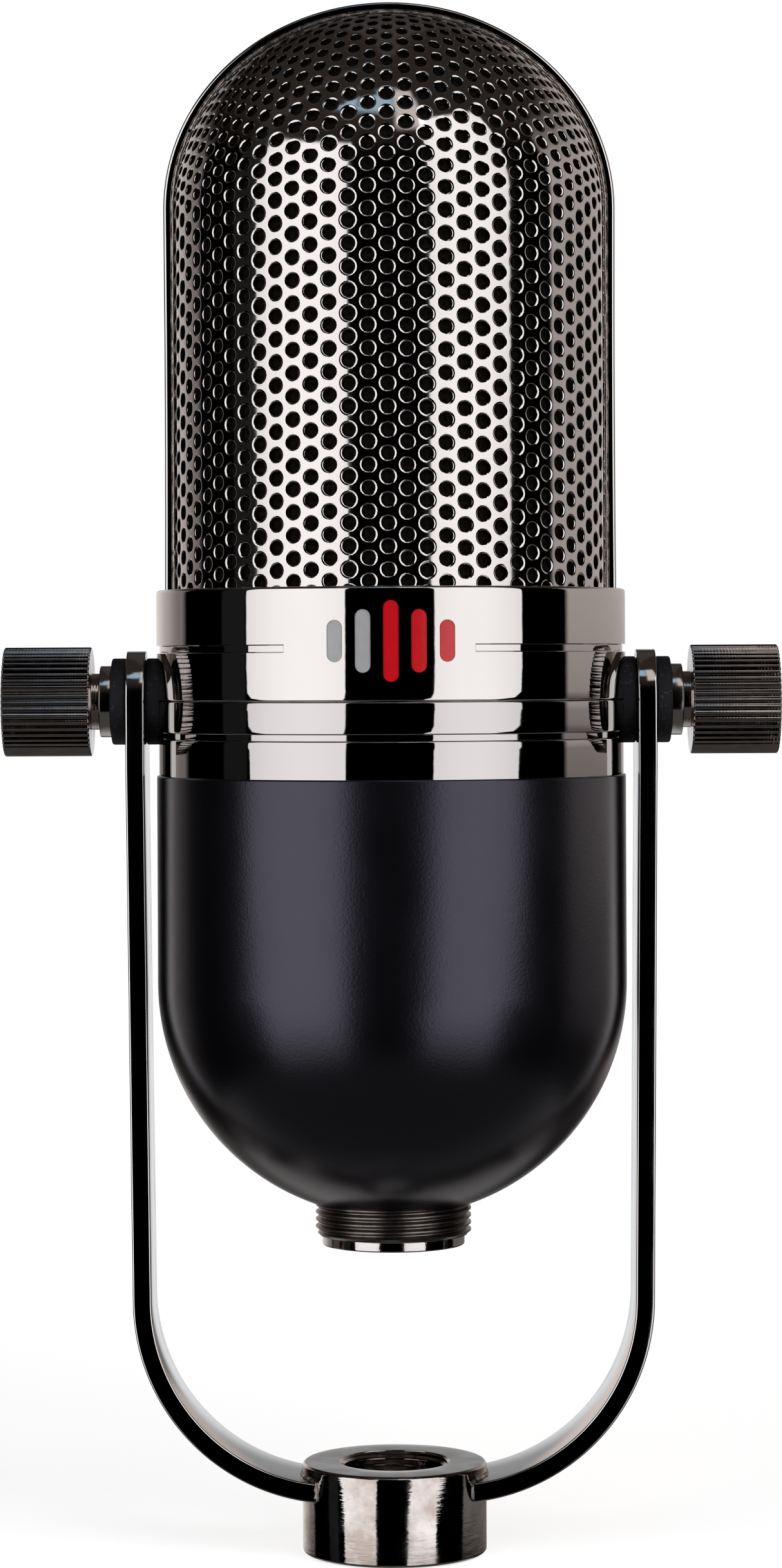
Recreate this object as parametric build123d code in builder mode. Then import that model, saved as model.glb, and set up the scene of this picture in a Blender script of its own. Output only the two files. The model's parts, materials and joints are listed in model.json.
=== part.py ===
from build123d import *
import os
from math import cos, radians, sin, sqrt

# Ribbon microphone in a two-arm yoke. Millimetres, +Z up. The origin is on the stand thread's
# axis at the boss's bottom face. The front looks along -Y, and the head tilts about an axis
# along X. Left and right are as seen from the front, so left is -X.

# ---------------------------------------------------------------- driving dimensions
GAP = 0.05  # air between pieces that only just clear each other

# yoke
boss_r = 13.75
boss_height = 13.3
stand_thread_r = 7.45  # minor radius of the 5/8 inch 27 thread
boss_countersink = 0.85
boss_rim_round = 0.5
strap_width = 15.0
strap_thickness = 2.8
strap_bend_r = 30.1  # outside of the bend
strap_bend_x = 8.5
strap_bend_z = 38.3
strap_end_x = 11.5  # the strap's end, let into the boss
pivot_z = 126.9
pivot_flat = 9.0  # upright stretch of strap below the pivot

# clamp stack, distances from the centre plane along the pivot axis
arm_inner_x = 36.55
arm_outer_x = arm_inner_x + strap_thickness
outer_washer_end_x = 41.65
thrust_washer_end_x = 43.45
knob_start_x = 44.7
knob_end_x = 57.7
stud_start_x = 26.0
stud_end_x = 53.0
rubber_r = 6.45
thrust_r = 5.35
neck_r = 4.2
knob_r = 8.15
knob_flutes = 50
knob_flute_depth = 0.3
knob_chamfer = 0.2
stud_r = 2.5
bush_r = 4.5
bush_start_x = 24.0
bush_end_x = 34.4
saddle_start_x = 33.4  # inside the collar's surface, which hollows the washer

# collars
collar_r = 35.0
middle_r = 34.9
lower_r = 34.7
groove_r = 34.2
collar_bore_r = 32.45
collar_top_z = 143.4
collar_joint_z = 127.0
groove_low_z = 134.05
groove_high_z = 135.1
groove_start_deg = 20.2  # from the front towards the right
groove_end_deg = 26.0  # from the front towards the left
middle_low_z = 121.35
middle_lip_z = 122.25
bowl_top_z = 115.9
edge_round = 0.6

# badge: five upright bars, the two on the left in the first colour
badge_bar_heights = (6.0, 9.0, 11.6, 9.0, 6.0)
badge_pitch = 4.0
badge_bar_width = 2.2
badge_z = 135.6
badge_floor_r = 34.6
badge_enamel_r = 34.85
badge_grey_bars = 2

# grille
grille_r = 32.3
grille_rise = 29.4  # height of the dome, which is a little flatter than a hemisphere
grille_wall = 0.8
dome_z = 200.0  # where the upright wall ends and the dome begins
hoop_r = 33.65
hoop_rise = 30.75
hoop_width = 9.0
cloth_r = 31.4
cloth_rise = 28.5
cloth_wall = 0.5
seam_gap = 0.2

# bowl and connector
bowl_r = 35.0
bowl_bore_r = 33.0
bowl_centre_z = 84.95
bowl_floor_z = 56.0
sleeve_r = 11.6
sleeve_lip_r = 10.64
sleeve_bore_r = 8.05
sleeve_low_z = 45.75
sleeve_lip_top_z = 47.25
sleeve_relief_r = 11.25  # undercut where the exposed thread runs out, below the bowl
sleeve_relief_low_z = 50.85
sleeve_relief_high_z = 51.7
sleeve_top_z = 66.5
nut_r = 15.0
nut_height = 4.0
insert_face_z = 60.5
insert_height = 5.5
pin_r = 1.2
pin_circle_r = 3.75
pin_tip_z = 50.4
pin_cup_z = 70.0

# chassis
ring_r = 32.4
ring_bore_r = 29.0
ring_low_z = 116.0
ring_top_z = 139.0
flange_height = 4.0
flange_bore_r = 24.0
spigot_bore_r = 31.0
spigot_low_z = 110.0
plate_r = 29.9
plate_height = 2.0
plate_top_z = ring_top_z + plate_height
chassis_screw_circle_r = 26.5
chassis_screw_r = 1.5
chassis_screw_length = 5.5
chassis_head_r = 2.6
chassis_head_height = 1.8

# ribbon motor
grommet_height = 4.0
grommet_r = 4.0
grommet_x = 10.0
grommet_y = 6.5
mount_screw_r = 1.5
mount_screw_length = 8.5
mount_head_r = 2.6
mount_head_height = 1.6
base_low_z = plate_top_z + grommet_height
base_height = 3.0
base_half_x = 18.0
base_half_y = 10.0
plate_corner_r = 2.0
insulator_height = 1.6
clamp_height = 4.0
clamp_half_x = 5.0
clamp_half_y = 3.0
pole_low_z = 154.0
pole_high_z = 192.0
pole_clearance = 0.4
pole_tip_x = 2.75
pole_tip_half_y = 2.0
magnet_inner_x = 9.0
magnet_outer_x = 15.0
magnet_half_y = 6.0
bar_half_y = 7.0
ribbon_half_x = 2.3
ribbon_thickness = 0.1
ribbon_wave = 0.5
ribbon_folds = 50
motor_screw_r = 1.0
motor_screw_y = 4.5
motor_screw_length = 8.0
motor_head_r = 1.4
motor_head_height = 1.2
clamp_screw_r = 0.6
clamp_screw_x = 3.7
clamp_head_height = 1.0

# transformer
deck_low_z = 107.5
deck_top_z = 110.0
deck_r = 23.5
standoff_x = 19.0
standoff_r = 2.5
core_half_x = 12.0
core_half_y = 5.0
core_height = 21.0
core_leg_half_x = 3.5
core_window_x = 5.0
core_yoke_height = 3.5
winding_half_y = 9.5
winding_corner_r = 2.0
bracket_thickness = 0.8
bracket_half_y = 4.0
bracket_foot = 3.4

# wiring
lead_r = 0.45
lead_hole_r = 1.2
ribbon_lead_x = 3.5
ribbon_lead_y = 12.5
ribbon_lead_start = 0.8  # height of its solder joint above the clamp's foot
ribbon_lead_step = 6.0
ribbon_lead_bend_r = 1.4
output_lead_x = 6.0
output_lead_y = -14.0
output_lead_drop = 8.0  # straight run below the deck
output_lead_rise = 12.0  # straight run above each contact
output_lead_bend_r = 2.0

pieces = {}
sides = (("left", -1), ("right", 1))


def outward(sign, distance=0.0):
    """Plane across the pivot axis, facing away from the head, at a distance from its centre."""
    return Plane(origin=(sign * distance, 0, pivot_z), x_dir=(0, 1, 0), z_dir=(sign, 0, 0))


def axial_ring(sign, start, end, outer_r, inner_r=None):
    """Ring, or rod with no inner radius, on the pivot axis between two distances from the centre."""
    with BuildPart() as ring:
        with BuildSketch(outward(sign, start)):
            Circle(outer_r)
            if inner_r:
                Circle(inner_r, mode=Mode.SUBTRACT)
        extrude(amount=end - start)
    return ring.part


def turned(points):
    """Solid of revolution about Z from an outline of (radius, height) points."""
    with BuildPart() as solid:
        with BuildSketch(Plane.XZ):
            with BuildLine():
                Polyline(*points, close=True)
            make_face()
        revolve(axis=Axis.Z)
    return solid.part


def block(half_x, half_y, low_z, high_z):
    """Box centred on the Z axis."""
    with BuildPart() as box:
        with BuildSketch(Plane.XY.offset(low_z)):
            Rectangle(2 * half_x, 2 * half_y)
        extrude(amount=high_z - low_z)
    return box.part


# ---------------------------------------------------------------- yoke
def yoke_arm(sign):
    """Flat strap: upright at the pivot, a slightly leaning leg, and a quarter bend into the boss."""
    inner_r = strap_bend_r - strap_thickness
    leg_outer_x = strap_bend_x + strap_bend_r
    leg_inner_x = strap_bend_x + inner_r
    top_z = pivot_z + strap_width / 2
    flat_z = pivot_z - pivot_flat
    reach = strap_end_x - strap_bend_x
    end_outer = (strap_end_x, strap_bend_z - sqrt(strap_bend_r**2 - reach**2))
    end_inner = (strap_end_x, strap_bend_z - sqrt(inner_r**2 - reach**2))
    middle = radians(45)
    mid_outer = (strap_bend_x + strap_bend_r * cos(middle), strap_bend_z - strap_bend_r * sin(middle))
    mid_inner = (strap_bend_x + inner_r * cos(middle), strap_bend_z - inner_r * sin(middle))
    front = Plane(origin=(0, -strap_width / 2, 0), x_dir=(sign, 0, 0), z_dir=(0, -sign, 0))
    with BuildPart() as arm:
        with BuildSketch(front):
            with BuildLine():
                Polyline(
                    (leg_inner_x, strap_bend_z),
                    (arm_inner_x, flat_z),
                    (arm_inner_x, top_z),
                    (arm_outer_x, top_z),
                    (arm_outer_x, flat_z),
                    (leg_outer_x, strap_bend_z),
                )
                ThreePointArc((leg_outer_x, strap_bend_z), mid_outer, end_outer)
                Line(end_outer, end_inner)
                ThreePointArc(end_inner, mid_inner, (leg_inner_x, strap_bend_z))
            make_face()
        extrude(amount=-sign * strap_width)
        top_corners = arm.edges().filter_by(Axis.X).group_by(Axis.Z)[-1]
        fillet(top_corners, radius=strap_width / 2 - GAP)
        with BuildSketch(outward(sign, arm_inner_x - 1)):
            Circle(stud_r + 2 * GAP)
        extrude(amount=strap_thickness + 2, mode=Mode.SUBTRACT)
    return arm.part


for side, sign in sides:
    pieces[f"yoke_arm_{side}"] = yoke_arm(sign)

with BuildPart() as stand_boss:
    with BuildSketch():
        Circle(boss_r)
    extrude(amount=boss_height)
    outer_rims = stand_boss.edges().filter_by(GeomType.CIRCLE)
    fillet(outer_rims, radius=boss_rim_round)
    with BuildSketch():
        Circle(stand_thread_r)
    extrude(amount=boss_height, mode=Mode.SUBTRACT)
    mouth = stand_boss.edges().filter_by(GeomType.CIRCLE).group_by(Axis.Z)[-1].sort_by(SortBy.RADIUS)[0]
    chamfer(mouth, length=boss_countersink)
    add(pieces["yoke_arm_left"], mode=Mode.SUBTRACT)
    add(pieces["yoke_arm_right"], mode=Mode.SUBTRACT)
pieces["stand_boss"] = stand_boss.part


# ---------------------------------------------------------------- tilt clamps
def saddle_washer(sign):
    """Rubber washer, flat against the strap and hollowed to sit on the round collar."""
    with BuildPart() as washer:
        with BuildSketch(outward(sign, saddle_start_x)):
            Circle(rubber_r)
            Circle(stud_r + 4 * GAP, mode=Mode.SUBTRACT)
        extrude(amount=arm_inner_x - GAP - saddle_start_x)
        with BuildSketch(Plane.XY.offset(pivot_z - 2 * rubber_r)):
            Circle(collar_r)
        extrude(amount=4 * rubber_r, mode=Mode.SUBTRACT)
    return washer.part


def knob(sign):
    """Straight-fluted thumb knob with a neck, bored for its pressed-in stud."""
    length = knob_end_x - knob_start_x
    with BuildPart() as envelope:
        with BuildSketch(outward(sign, knob_start_x)):
            Circle(knob_r)
        extrude(amount=length)
        chamfer(envelope.edges().filter_by(GeomType.CIRCLE), length=knob_chamfer)
    with BuildPart() as turned_knob:
        with BuildSketch(outward(sign, knob_start_x)):
            Circle(knob_r)
            with PolarLocations(knob_r, knob_flutes):
                Rectangle(knob_flute_depth * sqrt(2), knob_flute_depth * sqrt(2), 45, mode=Mode.SUBTRACT)
        extrude(amount=length)
        add(envelope.part, mode=Mode.INTERSECT)
        with BuildSketch(outward(sign, thrust_washer_end_x)):
            Circle(neck_r)
        extrude(amount=knob_start_x - thrust_washer_end_x)
        with BuildSketch(outward(sign, thrust_washer_end_x)):
            Circle(stud_r)
        extrude(amount=stud_end_x - thrust_washer_end_x, mode=Mode.SUBTRACT)
    return turned_knob.part


for side, sign in sides:
    clear_r = stud_r + 2 * GAP
    pieces[f"inner_washer_{side}"] = saddle_washer(sign)
    pieces[f"outer_washer_{side}"] = axial_ring(sign, arm_outer_x + GAP, outer_washer_end_x, rubber_r, clear_r)
    pieces[f"thrust_washer_{side}"] = axial_ring(
        sign, outer_washer_end_x, thrust_washer_end_x - GAP, thrust_r, clear_r
    )
    pieces[f"trunnion_bush_{side}"] = axial_ring(sign, bush_start_x, bush_end_x, bush_r, stud_r + GAP)
    pieces[f"stud_{side}"] = axial_ring(sign, stud_start_x, stud_end_x, stud_r)
    pieces[f"knob_{side}"] = knob(sign)

# ---------------------------------------------------------------- badge
with BuildPart() as badge_pockets:
    first_x = -badge_pitch * (len(badge_bar_heights) - 1) / 2
    with BuildSketch(Plane.XZ.offset(collar_bore_r)):
        for index, height in enumerate(badge_bar_heights):
            with Locations((first_x + index * badge_pitch, badge_z)):
                SlotOverall(height, badge_bar_width, rotation=90)
    extrude(amount=collar_r - collar_bore_r + 1)
    with BuildSketch(Plane.XY.offset(collar_joint_z)):
        Circle(badge_floor_r)
    extrude(amount=collar_top_z - collar_joint_z, mode=Mode.SUBTRACT)

with BuildPart() as badge_enamel:
    add(badge_pockets.part)
    with BuildSketch(Plane.XY.offset(collar_joint_z)):
        Circle(badge_enamel_r)
    extrude(amount=collar_top_z - collar_joint_z, mode=Mode.INTERSECT)
bars = badge_enamel.solids().sort_by(Axis.X)
pieces["badge_inlay_grey"] = Compound(children=list(bars[:badge_grey_bars]))
pieces["badge_inlay_red"] = Compound(children=list(bars[badge_grey_bars:]))


# ---------------------------------------------------------------- collars
trunnion_drill = axial_ring(1, -collar_r - 1, collar_r + 1, bush_r + GAP)

with BuildPart() as collar_upper:
    with BuildSketch(Plane.XY.offset(collar_joint_z + GAP)):
        Circle(collar_r)
        Circle(collar_bore_r, mode=Mode.SUBTRACT)
    extrude(amount=collar_top_z - collar_joint_z - GAP)
    outer_edges = collar_upper.edges().filter_by(GeomType.CIRCLE).group_by(SortBy.RADIUS)[-1]
    fillet(outer_edges, radius=edge_round)
    start = radians(groove_start_deg - 90)
    groove_plane = Plane(origin=(0, 0, 0), x_dir=(cos(start), sin(start), 0), z_dir=(sin(start), -cos(start), 0))
    with BuildSketch(groove_plane):
        with Locations(((groove_r + collar_r + 1) / 2, (groove_low_z + groove_high_z) / 2)):
            Rectangle(collar_r + 1 - groove_r, groove_high_z - groove_low_z)
    revolve(axis=Axis.Z, revolution_arc=360 - groove_start_deg - groove_end_deg, mode=Mode.SUBTRACT)
    with BuildSketch(Plane.XY.offset(ring_top_z)):
        Rectangle(2 * (hoop_r + GAP), hoop_width + 2 * GAP)
    extrude(amount=collar_top_z - ring_top_z, mode=Mode.SUBTRACT)
    add(badge_pockets.part, mode=Mode.SUBTRACT)
    add(trunnion_drill, mode=Mode.SUBTRACT)
pieces["collar_upper"] = collar_upper.part

with BuildPart() as collar_middle:
    add(
        turned(
            (
                (collar_bore_r, middle_low_z + GAP),
                (groove_r, middle_low_z + GAP),
                (groove_r, middle_lip_z),
                (middle_r, middle_lip_z),
                (middle_r, collar_joint_z - GAP),
                (collar_bore_r, collar_joint_z - GAP),
            )
        )
    )
    add(trunnion_drill, mode=Mode.SUBTRACT)
pieces["collar_middle"] = collar_middle.part

pieces["collar_lower"] = turned(
    (
        (spigot_bore_r, spigot_low_z),
        (bowl_bore_r - GAP, spigot_low_z),
        (bowl_bore_r - GAP, bowl_top_z),
        (lower_r, bowl_top_z),
        (lower_r, middle_low_z),
        (collar_bore_r, middle_low_z),
        (collar_bore_r, ring_low_z),
        (spigot_bore_r, ring_low_z),
    )
)


# ---------------------------------------------------------------- grille and cloth
def half_dome(outer_r, rise, wall, facing):
    """Half of a round shell with a domed top, open at the bottom. facing is -1 front, 1 rear."""
    inner_r = outer_r - wall
    inner_rise = rise - wall
    with BuildPart() as shell:
        with BuildSketch(Plane.XZ):
            with BuildLine():
                Polyline(
                    (inner_r, dome_z),
                    (inner_r, ring_top_z),
                    (outer_r, ring_top_z),
                    (outer_r, dome_z),
                )
                EllipticalCenterArc((0, dome_z), outer_r, rise, arc_size=90)
                Line((0, dome_z + rise), (0, dome_z + inner_rise))
                EllipticalCenterArc((0, dome_z), inner_r, inner_rise, arc_size=90)
            make_face()
        revolve(axis=Axis.Z)
        with BuildSketch(Plane.XZ.offset(seam_gap / 2)):
            with Locations((0, dome_z)):
                Rectangle(4 * outer_r, 4 * outer_r)
        extrude(amount=-2 * outer_r, mode=Mode.SUBTRACT)
    if facing > 0:
        return shell.part.mirror(Plane.XZ)
    return shell.part


for name, facing in (("front", -1), ("rear", 1)):
    pieces[f"grille_{name}"] = half_dome(grille_r, grille_rise, grille_wall, facing)
    pieces[f"cloth_{name}"] = half_dome(cloth_r, cloth_rise, cloth_wall, facing)

with BuildPart() as grille_hoop:
    hoop_bore_r = grille_r + GAP
    with BuildSketch(Plane.XZ.offset(-hoop_width / 2)):
        with Locations((0, dome_z)):
            Ellipse(hoop_r, hoop_rise)
        with Locations((0, (ring_top_z + dome_z) / 2)):
            Rectangle(2 * hoop_r, dome_z - ring_top_z)
        with Locations((0, dome_z)):
            Ellipse(hoop_bore_r, grille_rise + GAP, mode=Mode.SUBTRACT)
        with Locations((0, (ring_top_z + dome_z) / 2)):
            Rectangle(2 * hoop_bore_r, dome_z - ring_top_z, mode=Mode.SUBTRACT)
    extrude(amount=hoop_width)
pieces["grille_hoop"] = grille_hoop.part

# ---------------------------------------------------------------- bowl and connector
with BuildPart() as body_bowl:
    floor_inner_r = sqrt(bowl_bore_r**2 - (bowl_centre_z - bowl_floor_z) ** 2)
    hole_r = sleeve_r + GAP
    hole_outer_z = bowl_centre_z - sqrt(bowl_r**2 - hole_r**2)
    slope = radians(30)
    outer_mid = (bowl_r * cos(slope), bowl_centre_z - bowl_r * sin(slope))
    inner_mid = (bowl_bore_r * cos(slope), bowl_centre_z - bowl_bore_r * sin(slope))
    with BuildSketch(Plane.XZ):
        with BuildLine():
            Polyline(
                (bowl_bore_r, bowl_centre_z),
                (bowl_bore_r, bowl_top_z),
                (bowl_r, bowl_top_z),
                (bowl_r, bowl_centre_z),
            )
            ThreePointArc((bowl_r, bowl_centre_z), outer_mid, (hole_r, hole_outer_z))
            Polyline((hole_r, hole_outer_z), (hole_r, bowl_floor_z), (floor_inner_r, bowl_floor_z))
            ThreePointArc((floor_inner_r, bowl_floor_z), inner_mid, (bowl_bore_r, bowl_centre_z))
        make_face()
    revolve(axis=Axis.Z)
pieces["body_bowl"] = body_bowl.part

pieces["connector_sleeve"] = turned(
    (
        (sleeve_bore_r, sleeve_low_z),
        (sleeve_lip_r, sleeve_low_z),
        (sleeve_lip_r, sleeve_lip_top_z),
        (sleeve_r, sleeve_lip_top_z),
        (sleeve_r, sleeve_relief_low_z),
        (sleeve_relief_r, sleeve_relief_low_z),
        (sleeve_relief_r, sleeve_relief_high_z),
        (sleeve_r, sleeve_relief_high_z),
        (sleeve_r, sleeve_top_z),
        (sleeve_bore_r, sleeve_top_z),
    )
)

with BuildPart() as connector_nut:
    with BuildSketch(Plane.XY.offset(bowl_floor_z)):
        RegularPolygon(nut_r, 6)
        Circle(sleeve_r + GAP, mode=Mode.SUBTRACT)
    extrude(amount=nut_height)
pieces["connector_nut"] = connector_nut.part

with BuildPart() as xlr_insert:
    with BuildSketch(Plane.XY.offset(insert_face_z)):
        Circle(sleeve_bore_r - GAP)
        with PolarLocations(pin_circle_r, 3, start_angle=-90):
            Circle(pin_r, mode=Mode.SUBTRACT)
    extrude(amount=insert_height)
pieces["xlr_insert"] = xlr_insert.part

with BuildPart() as xlr_pins:
    with BuildSketch(Plane.XY.offset(pin_tip_z)):
        with PolarLocations(pin_circle_r, 3, start_angle=-90):
            Circle(pin_r)
    extrude(amount=pin_cup_z - pin_tip_z)
    tips = xlr_pins.edges().filter_by(GeomType.CIRCLE).group_by(Axis.Z)[0]
    fillet(tips, radius=pin_r / 2)
pieces["xlr_pins"] = xlr_pins.part

# ---------------------------------------------------------------- chassis
with BuildPart() as chassis_ring:
    add(
        turned(
            (
                (ring_bore_r, ring_low_z),
                (ring_r, ring_low_z),
                (ring_r, ring_top_z),
                (flange_bore_r, ring_top_z),
                (flange_bore_r, ring_top_z - flange_height),
                (ring_bore_r, ring_top_z - flange_height),
            )
        )
    )
    with BuildSketch(outward(1, -collar_r)):
        Circle(bush_r)
    extrude(amount=2 * collar_r, mode=Mode.SUBTRACT)
    with BuildSketch(Plane.XY.offset(ring_top_z)):
        with PolarLocations(chassis_screw_circle_r, 4, start_angle=45):
            Circle(chassis_screw_r)
    extrude(amount=-flange_height, mode=Mode.SUBTRACT)
pieces["chassis_ring"] = chassis_ring.part

with BuildPart() as chassis_plate:
    with BuildSketch(Plane.XY.offset(ring_top_z)):
        Circle(plate_r)
        with PolarLocations(chassis_screw_circle_r, 4, start_angle=45):
            Circle(chassis_screw_r, mode=Mode.SUBTRACT)
        with GridLocations(2 * grommet_x, 2 * grommet_y, 2, 2):
            Circle(mount_screw_r, mode=Mode.SUBTRACT)
        with Locations((-ribbon_lead_x, ribbon_lead_y), (ribbon_lead_x, ribbon_lead_y)):
            Circle(lead_hole_r, mode=Mode.SUBTRACT)
    extrude(amount=plate_height)
pieces["chassis_plate"] = chassis_plate.part


def screws(places, seat_z, shank_r, length, head_r, head_height, facing=1):
    """Slotted pan-head screws at (x, y) places. facing is the way that their heads point."""
    with BuildPart() as group:
        with BuildSketch(Plane.XY.offset(seat_z)):
            with Locations(*places):
                Circle(head_r)
        extrude(amount=facing * head_height)
        with BuildSketch(Plane.XY.offset(seat_z)):
            with Locations(*places):
                Circle(shank_r)
        extrude(amount=-facing * length)
        with BuildSketch(Plane.XY.offset(seat_z + facing * head_height)):
            with Locations(*places):
                Rectangle(2 * head_r, head_r / 4)
        extrude(amount=-facing * head_height / 2, mode=Mode.SUBTRACT)
    return group.part


def corners(x, y):
    """The four corner places of a rectangle of half-sizes x and y."""
    return ((-x, -y), (x, -y), (-x, y), (x, y))


corner = chassis_screw_circle_r * sin(radians(45))
pieces["chassis_screws"] = screws(
    corners(corner, corner),
    plate_top_z,
    chassis_screw_r,
    chassis_screw_length,
    chassis_head_r,
    chassis_head_height,
)

# ---------------------------------------------------------------- ribbon motor
base_top_z = base_low_z + base_height
clamp_low_z = base_top_z + insulator_height
top_clamp_z = pole_high_z + pole_clearance
top_insulator_z = top_clamp_z + clamp_height
motor_top_z = top_insulator_z + insulator_height
bar_x = (magnet_outer_x + base_half_x) / 2

with BuildPart() as isolation_grommets:
    with BuildSketch(Plane.XY.offset(plate_top_z)):
        with GridLocations(2 * grommet_x, 2 * grommet_y, 2, 2):
            Circle(grommet_r)
            Circle(mount_screw_r + GAP, mode=Mode.SUBTRACT)
    extrude(amount=grommet_height)
pieces["isolation_grommets"] = isolation_grommets.part
pieces["motor_mount_screws"] = screws(
    corners(grommet_x, grommet_y),
    base_top_z,
    mount_screw_r,
    mount_screw_length,
    mount_head_r,
    mount_head_height,
)


def motor_plate(low_z, mount_holes):
    """Steel end plate of the motor, drilled for its screws."""
    with BuildPart() as plate:
        with BuildSketch(Plane.XY.offset(low_z)):
            RectangleRounded(2 * base_half_x, 2 * base_half_y, plate_corner_r)
            with GridLocations(2 * bar_x, 2 * motor_screw_y, 2, 2):
                Circle(motor_screw_r, mode=Mode.SUBTRACT)
            if mount_holes:
                with GridLocations(2 * grommet_x, 2 * grommet_y, 2, 2):
                    Circle(mount_screw_r + GAP, mode=Mode.SUBTRACT)
        extrude(amount=base_height)
    return plate.part


pieces["motor_base"] = motor_plate(base_low_z, True)
pieces["motor_top"] = motor_plate(motor_top_z, False)

for side, sign in sides:
    bar_width = base_half_x - magnet_outer_x
    with BuildPart() as return_bar:
        with BuildSketch(Plane.XY.offset(base_top_z)):
            with Locations((sign * bar_x, 0)):
                Rectangle(bar_width, 2 * bar_half_y)
            with Locations((sign * bar_x, -motor_screw_y), (sign * bar_x, motor_screw_y)):
                Circle(motor_screw_r, mode=Mode.SUBTRACT)
        extrude(amount=motor_top_z - base_top_z)
    pieces[f"return_bar_{side}"] = return_bar.part

    with BuildPart() as magnet:
        with BuildSketch(Plane.XY.offset(pole_low_z)):
            with Locations((sign * (magnet_inner_x + magnet_outer_x) / 2, 0)):
                Rectangle(magnet_outer_x - magnet_inner_x, 2 * magnet_half_y)
        extrude(amount=pole_high_z - pole_low_z)
    pieces[f"magnet_{side}"] = magnet.part

    with BuildPart() as pole_piece:
        with BuildSketch(Plane.XY.offset(pole_low_z)):
            with BuildLine():
                Polyline(
                    (sign * pole_tip_x, -pole_tip_half_y),
                    (sign * magnet_inner_x, -magnet_half_y),
                    (sign * magnet_inner_x, magnet_half_y),
                    (sign * pole_tip_x, pole_tip_half_y),
                    close=True,
                )
            make_face()
        extrude(amount=pole_high_z - pole_low_z)
    pieces[f"pole_piece_{side}"] = pole_piece.part

with BuildPart() as motor_screws:
    motor_screw_sizes = (motor_screw_r, motor_screw_length, motor_head_r, motor_head_height)
    add(screws(corners(bar_x, motor_screw_y), motor_top_z + base_height, *motor_screw_sizes))
    add(screws(corners(bar_x, motor_screw_y), base_low_z, *motor_screw_sizes, facing=-1))
pieces["motor_screws"] = motor_screws.part

with BuildPart() as clamp_insulators:
    add(block(clamp_half_x, clamp_half_y, base_top_z, clamp_low_z))
    add(block(clamp_half_x, clamp_half_y, top_insulator_z, motor_top_z))
pieces["clamp_insulators"] = clamp_insulators.part


def ribbon_clamp(low_z):
    """Two brass jaws, in front of the ribbon's end and behind it, drilled for their screws."""
    jaw_thickness = clamp_half_y - ribbon_thickness / 2
    middle_z = low_z + clamp_height / 2
    with BuildPart() as jaws:
        with BuildSketch(Plane.XY.offset(low_z)):
            for way in (-1, 1):
                with Locations((0, way * (clamp_half_y + ribbon_thickness / 2) / 2)):
                    Rectangle(2 * clamp_half_x, jaw_thickness)
        extrude(amount=clamp_height)
        with BuildSketch(Plane.XZ.offset(clamp_half_y)):
            with Locations((-clamp_screw_x, middle_z), (clamp_screw_x, middle_z)):
                Circle(clamp_screw_r)
        extrude(amount=-2 * clamp_half_y, mode=Mode.SUBTRACT)
    return jaws.part


pieces["ribbon_clamp_bottom"] = ribbon_clamp(clamp_low_z)
pieces["ribbon_clamp_top"] = ribbon_clamp(top_clamp_z)

with BuildPart() as clamp_screws:
    screw_places = []
    for low_z in (clamp_low_z, top_clamp_z):
        for way in (-1, 1):
            screw_places.append((way * clamp_screw_x, low_z + clamp_height / 2))
    with BuildSketch(Plane.XZ.offset(clamp_half_y)):
        with Locations(*screw_places):
            Circle(2 * clamp_screw_r)
    extrude(amount=clamp_head_height)
    with BuildSketch(Plane.XZ.offset(clamp_half_y)):
        with Locations(*screw_places):
            Circle(clamp_screw_r)
    extrude(amount=-2 * clamp_half_y)
pieces["clamp_screws"] = clamp_screws.part

with BuildPart() as ribbon:
    fold = (pole_high_z - pole_low_z) / ribbon_folds
    centre_line = [(0, clamp_low_z)]
    for index in range(1, ribbon_folds):
        wave = ribbon_wave if index % 2 else -ribbon_wave
        centre_line.append((wave, pole_low_z + index * fold))
    centre_line.insert(1, (0, pole_low_z))
    centre_line.append((0, pole_high_z))
    centre_line.append((0, top_insulator_z))
    front_side = [(y - ribbon_thickness / 2, z) for y, z in centre_line]
    rear_side = [(y + ribbon_thickness / 2, z) for y, z in reversed(centre_line)]
    with BuildSketch(Plane.YZ):
        with BuildLine():
            Polyline(*front_side, *rear_side, close=True)
        make_face()
    extrude(amount=ribbon_half_x, both=True)
pieces["ribbon"] = ribbon.part

# ---------------------------------------------------------------- transformer
with BuildPart() as standoffs:
    with BuildSketch(Plane.XY.offset(deck_top_z)):
        with Locations((-standoff_x, 0), (standoff_x, 0)):
            RegularPolygon(standoff_r, 6)
    extrude(amount=ring_top_z - deck_top_z)
pieces["standoffs"] = standoffs.part

with BuildPart() as transformer_plate:
    with BuildSketch(Plane.XY.offset(deck_low_z)):
        Circle(deck_r)
        with Locations((-output_lead_x, output_lead_y), (0, output_lead_y), (output_lead_x, output_lead_y)):
            Circle(lead_hole_r, mode=Mode.SUBTRACT)
    extrude(amount=deck_top_z - deck_low_z)
pieces["transformer_plate"] = transformer_plate.part

core_top_z = deck_top_z + core_height
core_middle_z = (deck_top_z + core_top_z) / 2
window_height = core_height - 2 * core_yoke_height
window_x = core_leg_half_x + core_window_x / 2
with BuildPart() as transformer_core:
    with BuildSketch(Plane.XZ):
        with Locations((0, core_middle_z)):
            Rectangle(2 * core_half_x, core_height)
        with Locations((-window_x, core_middle_z), (window_x, core_middle_z)):
            Rectangle(core_window_x, window_height, mode=Mode.SUBTRACT)
    extrude(amount=core_half_y, both=True)
pieces["transformer_core"] = transformer_core.part

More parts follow.
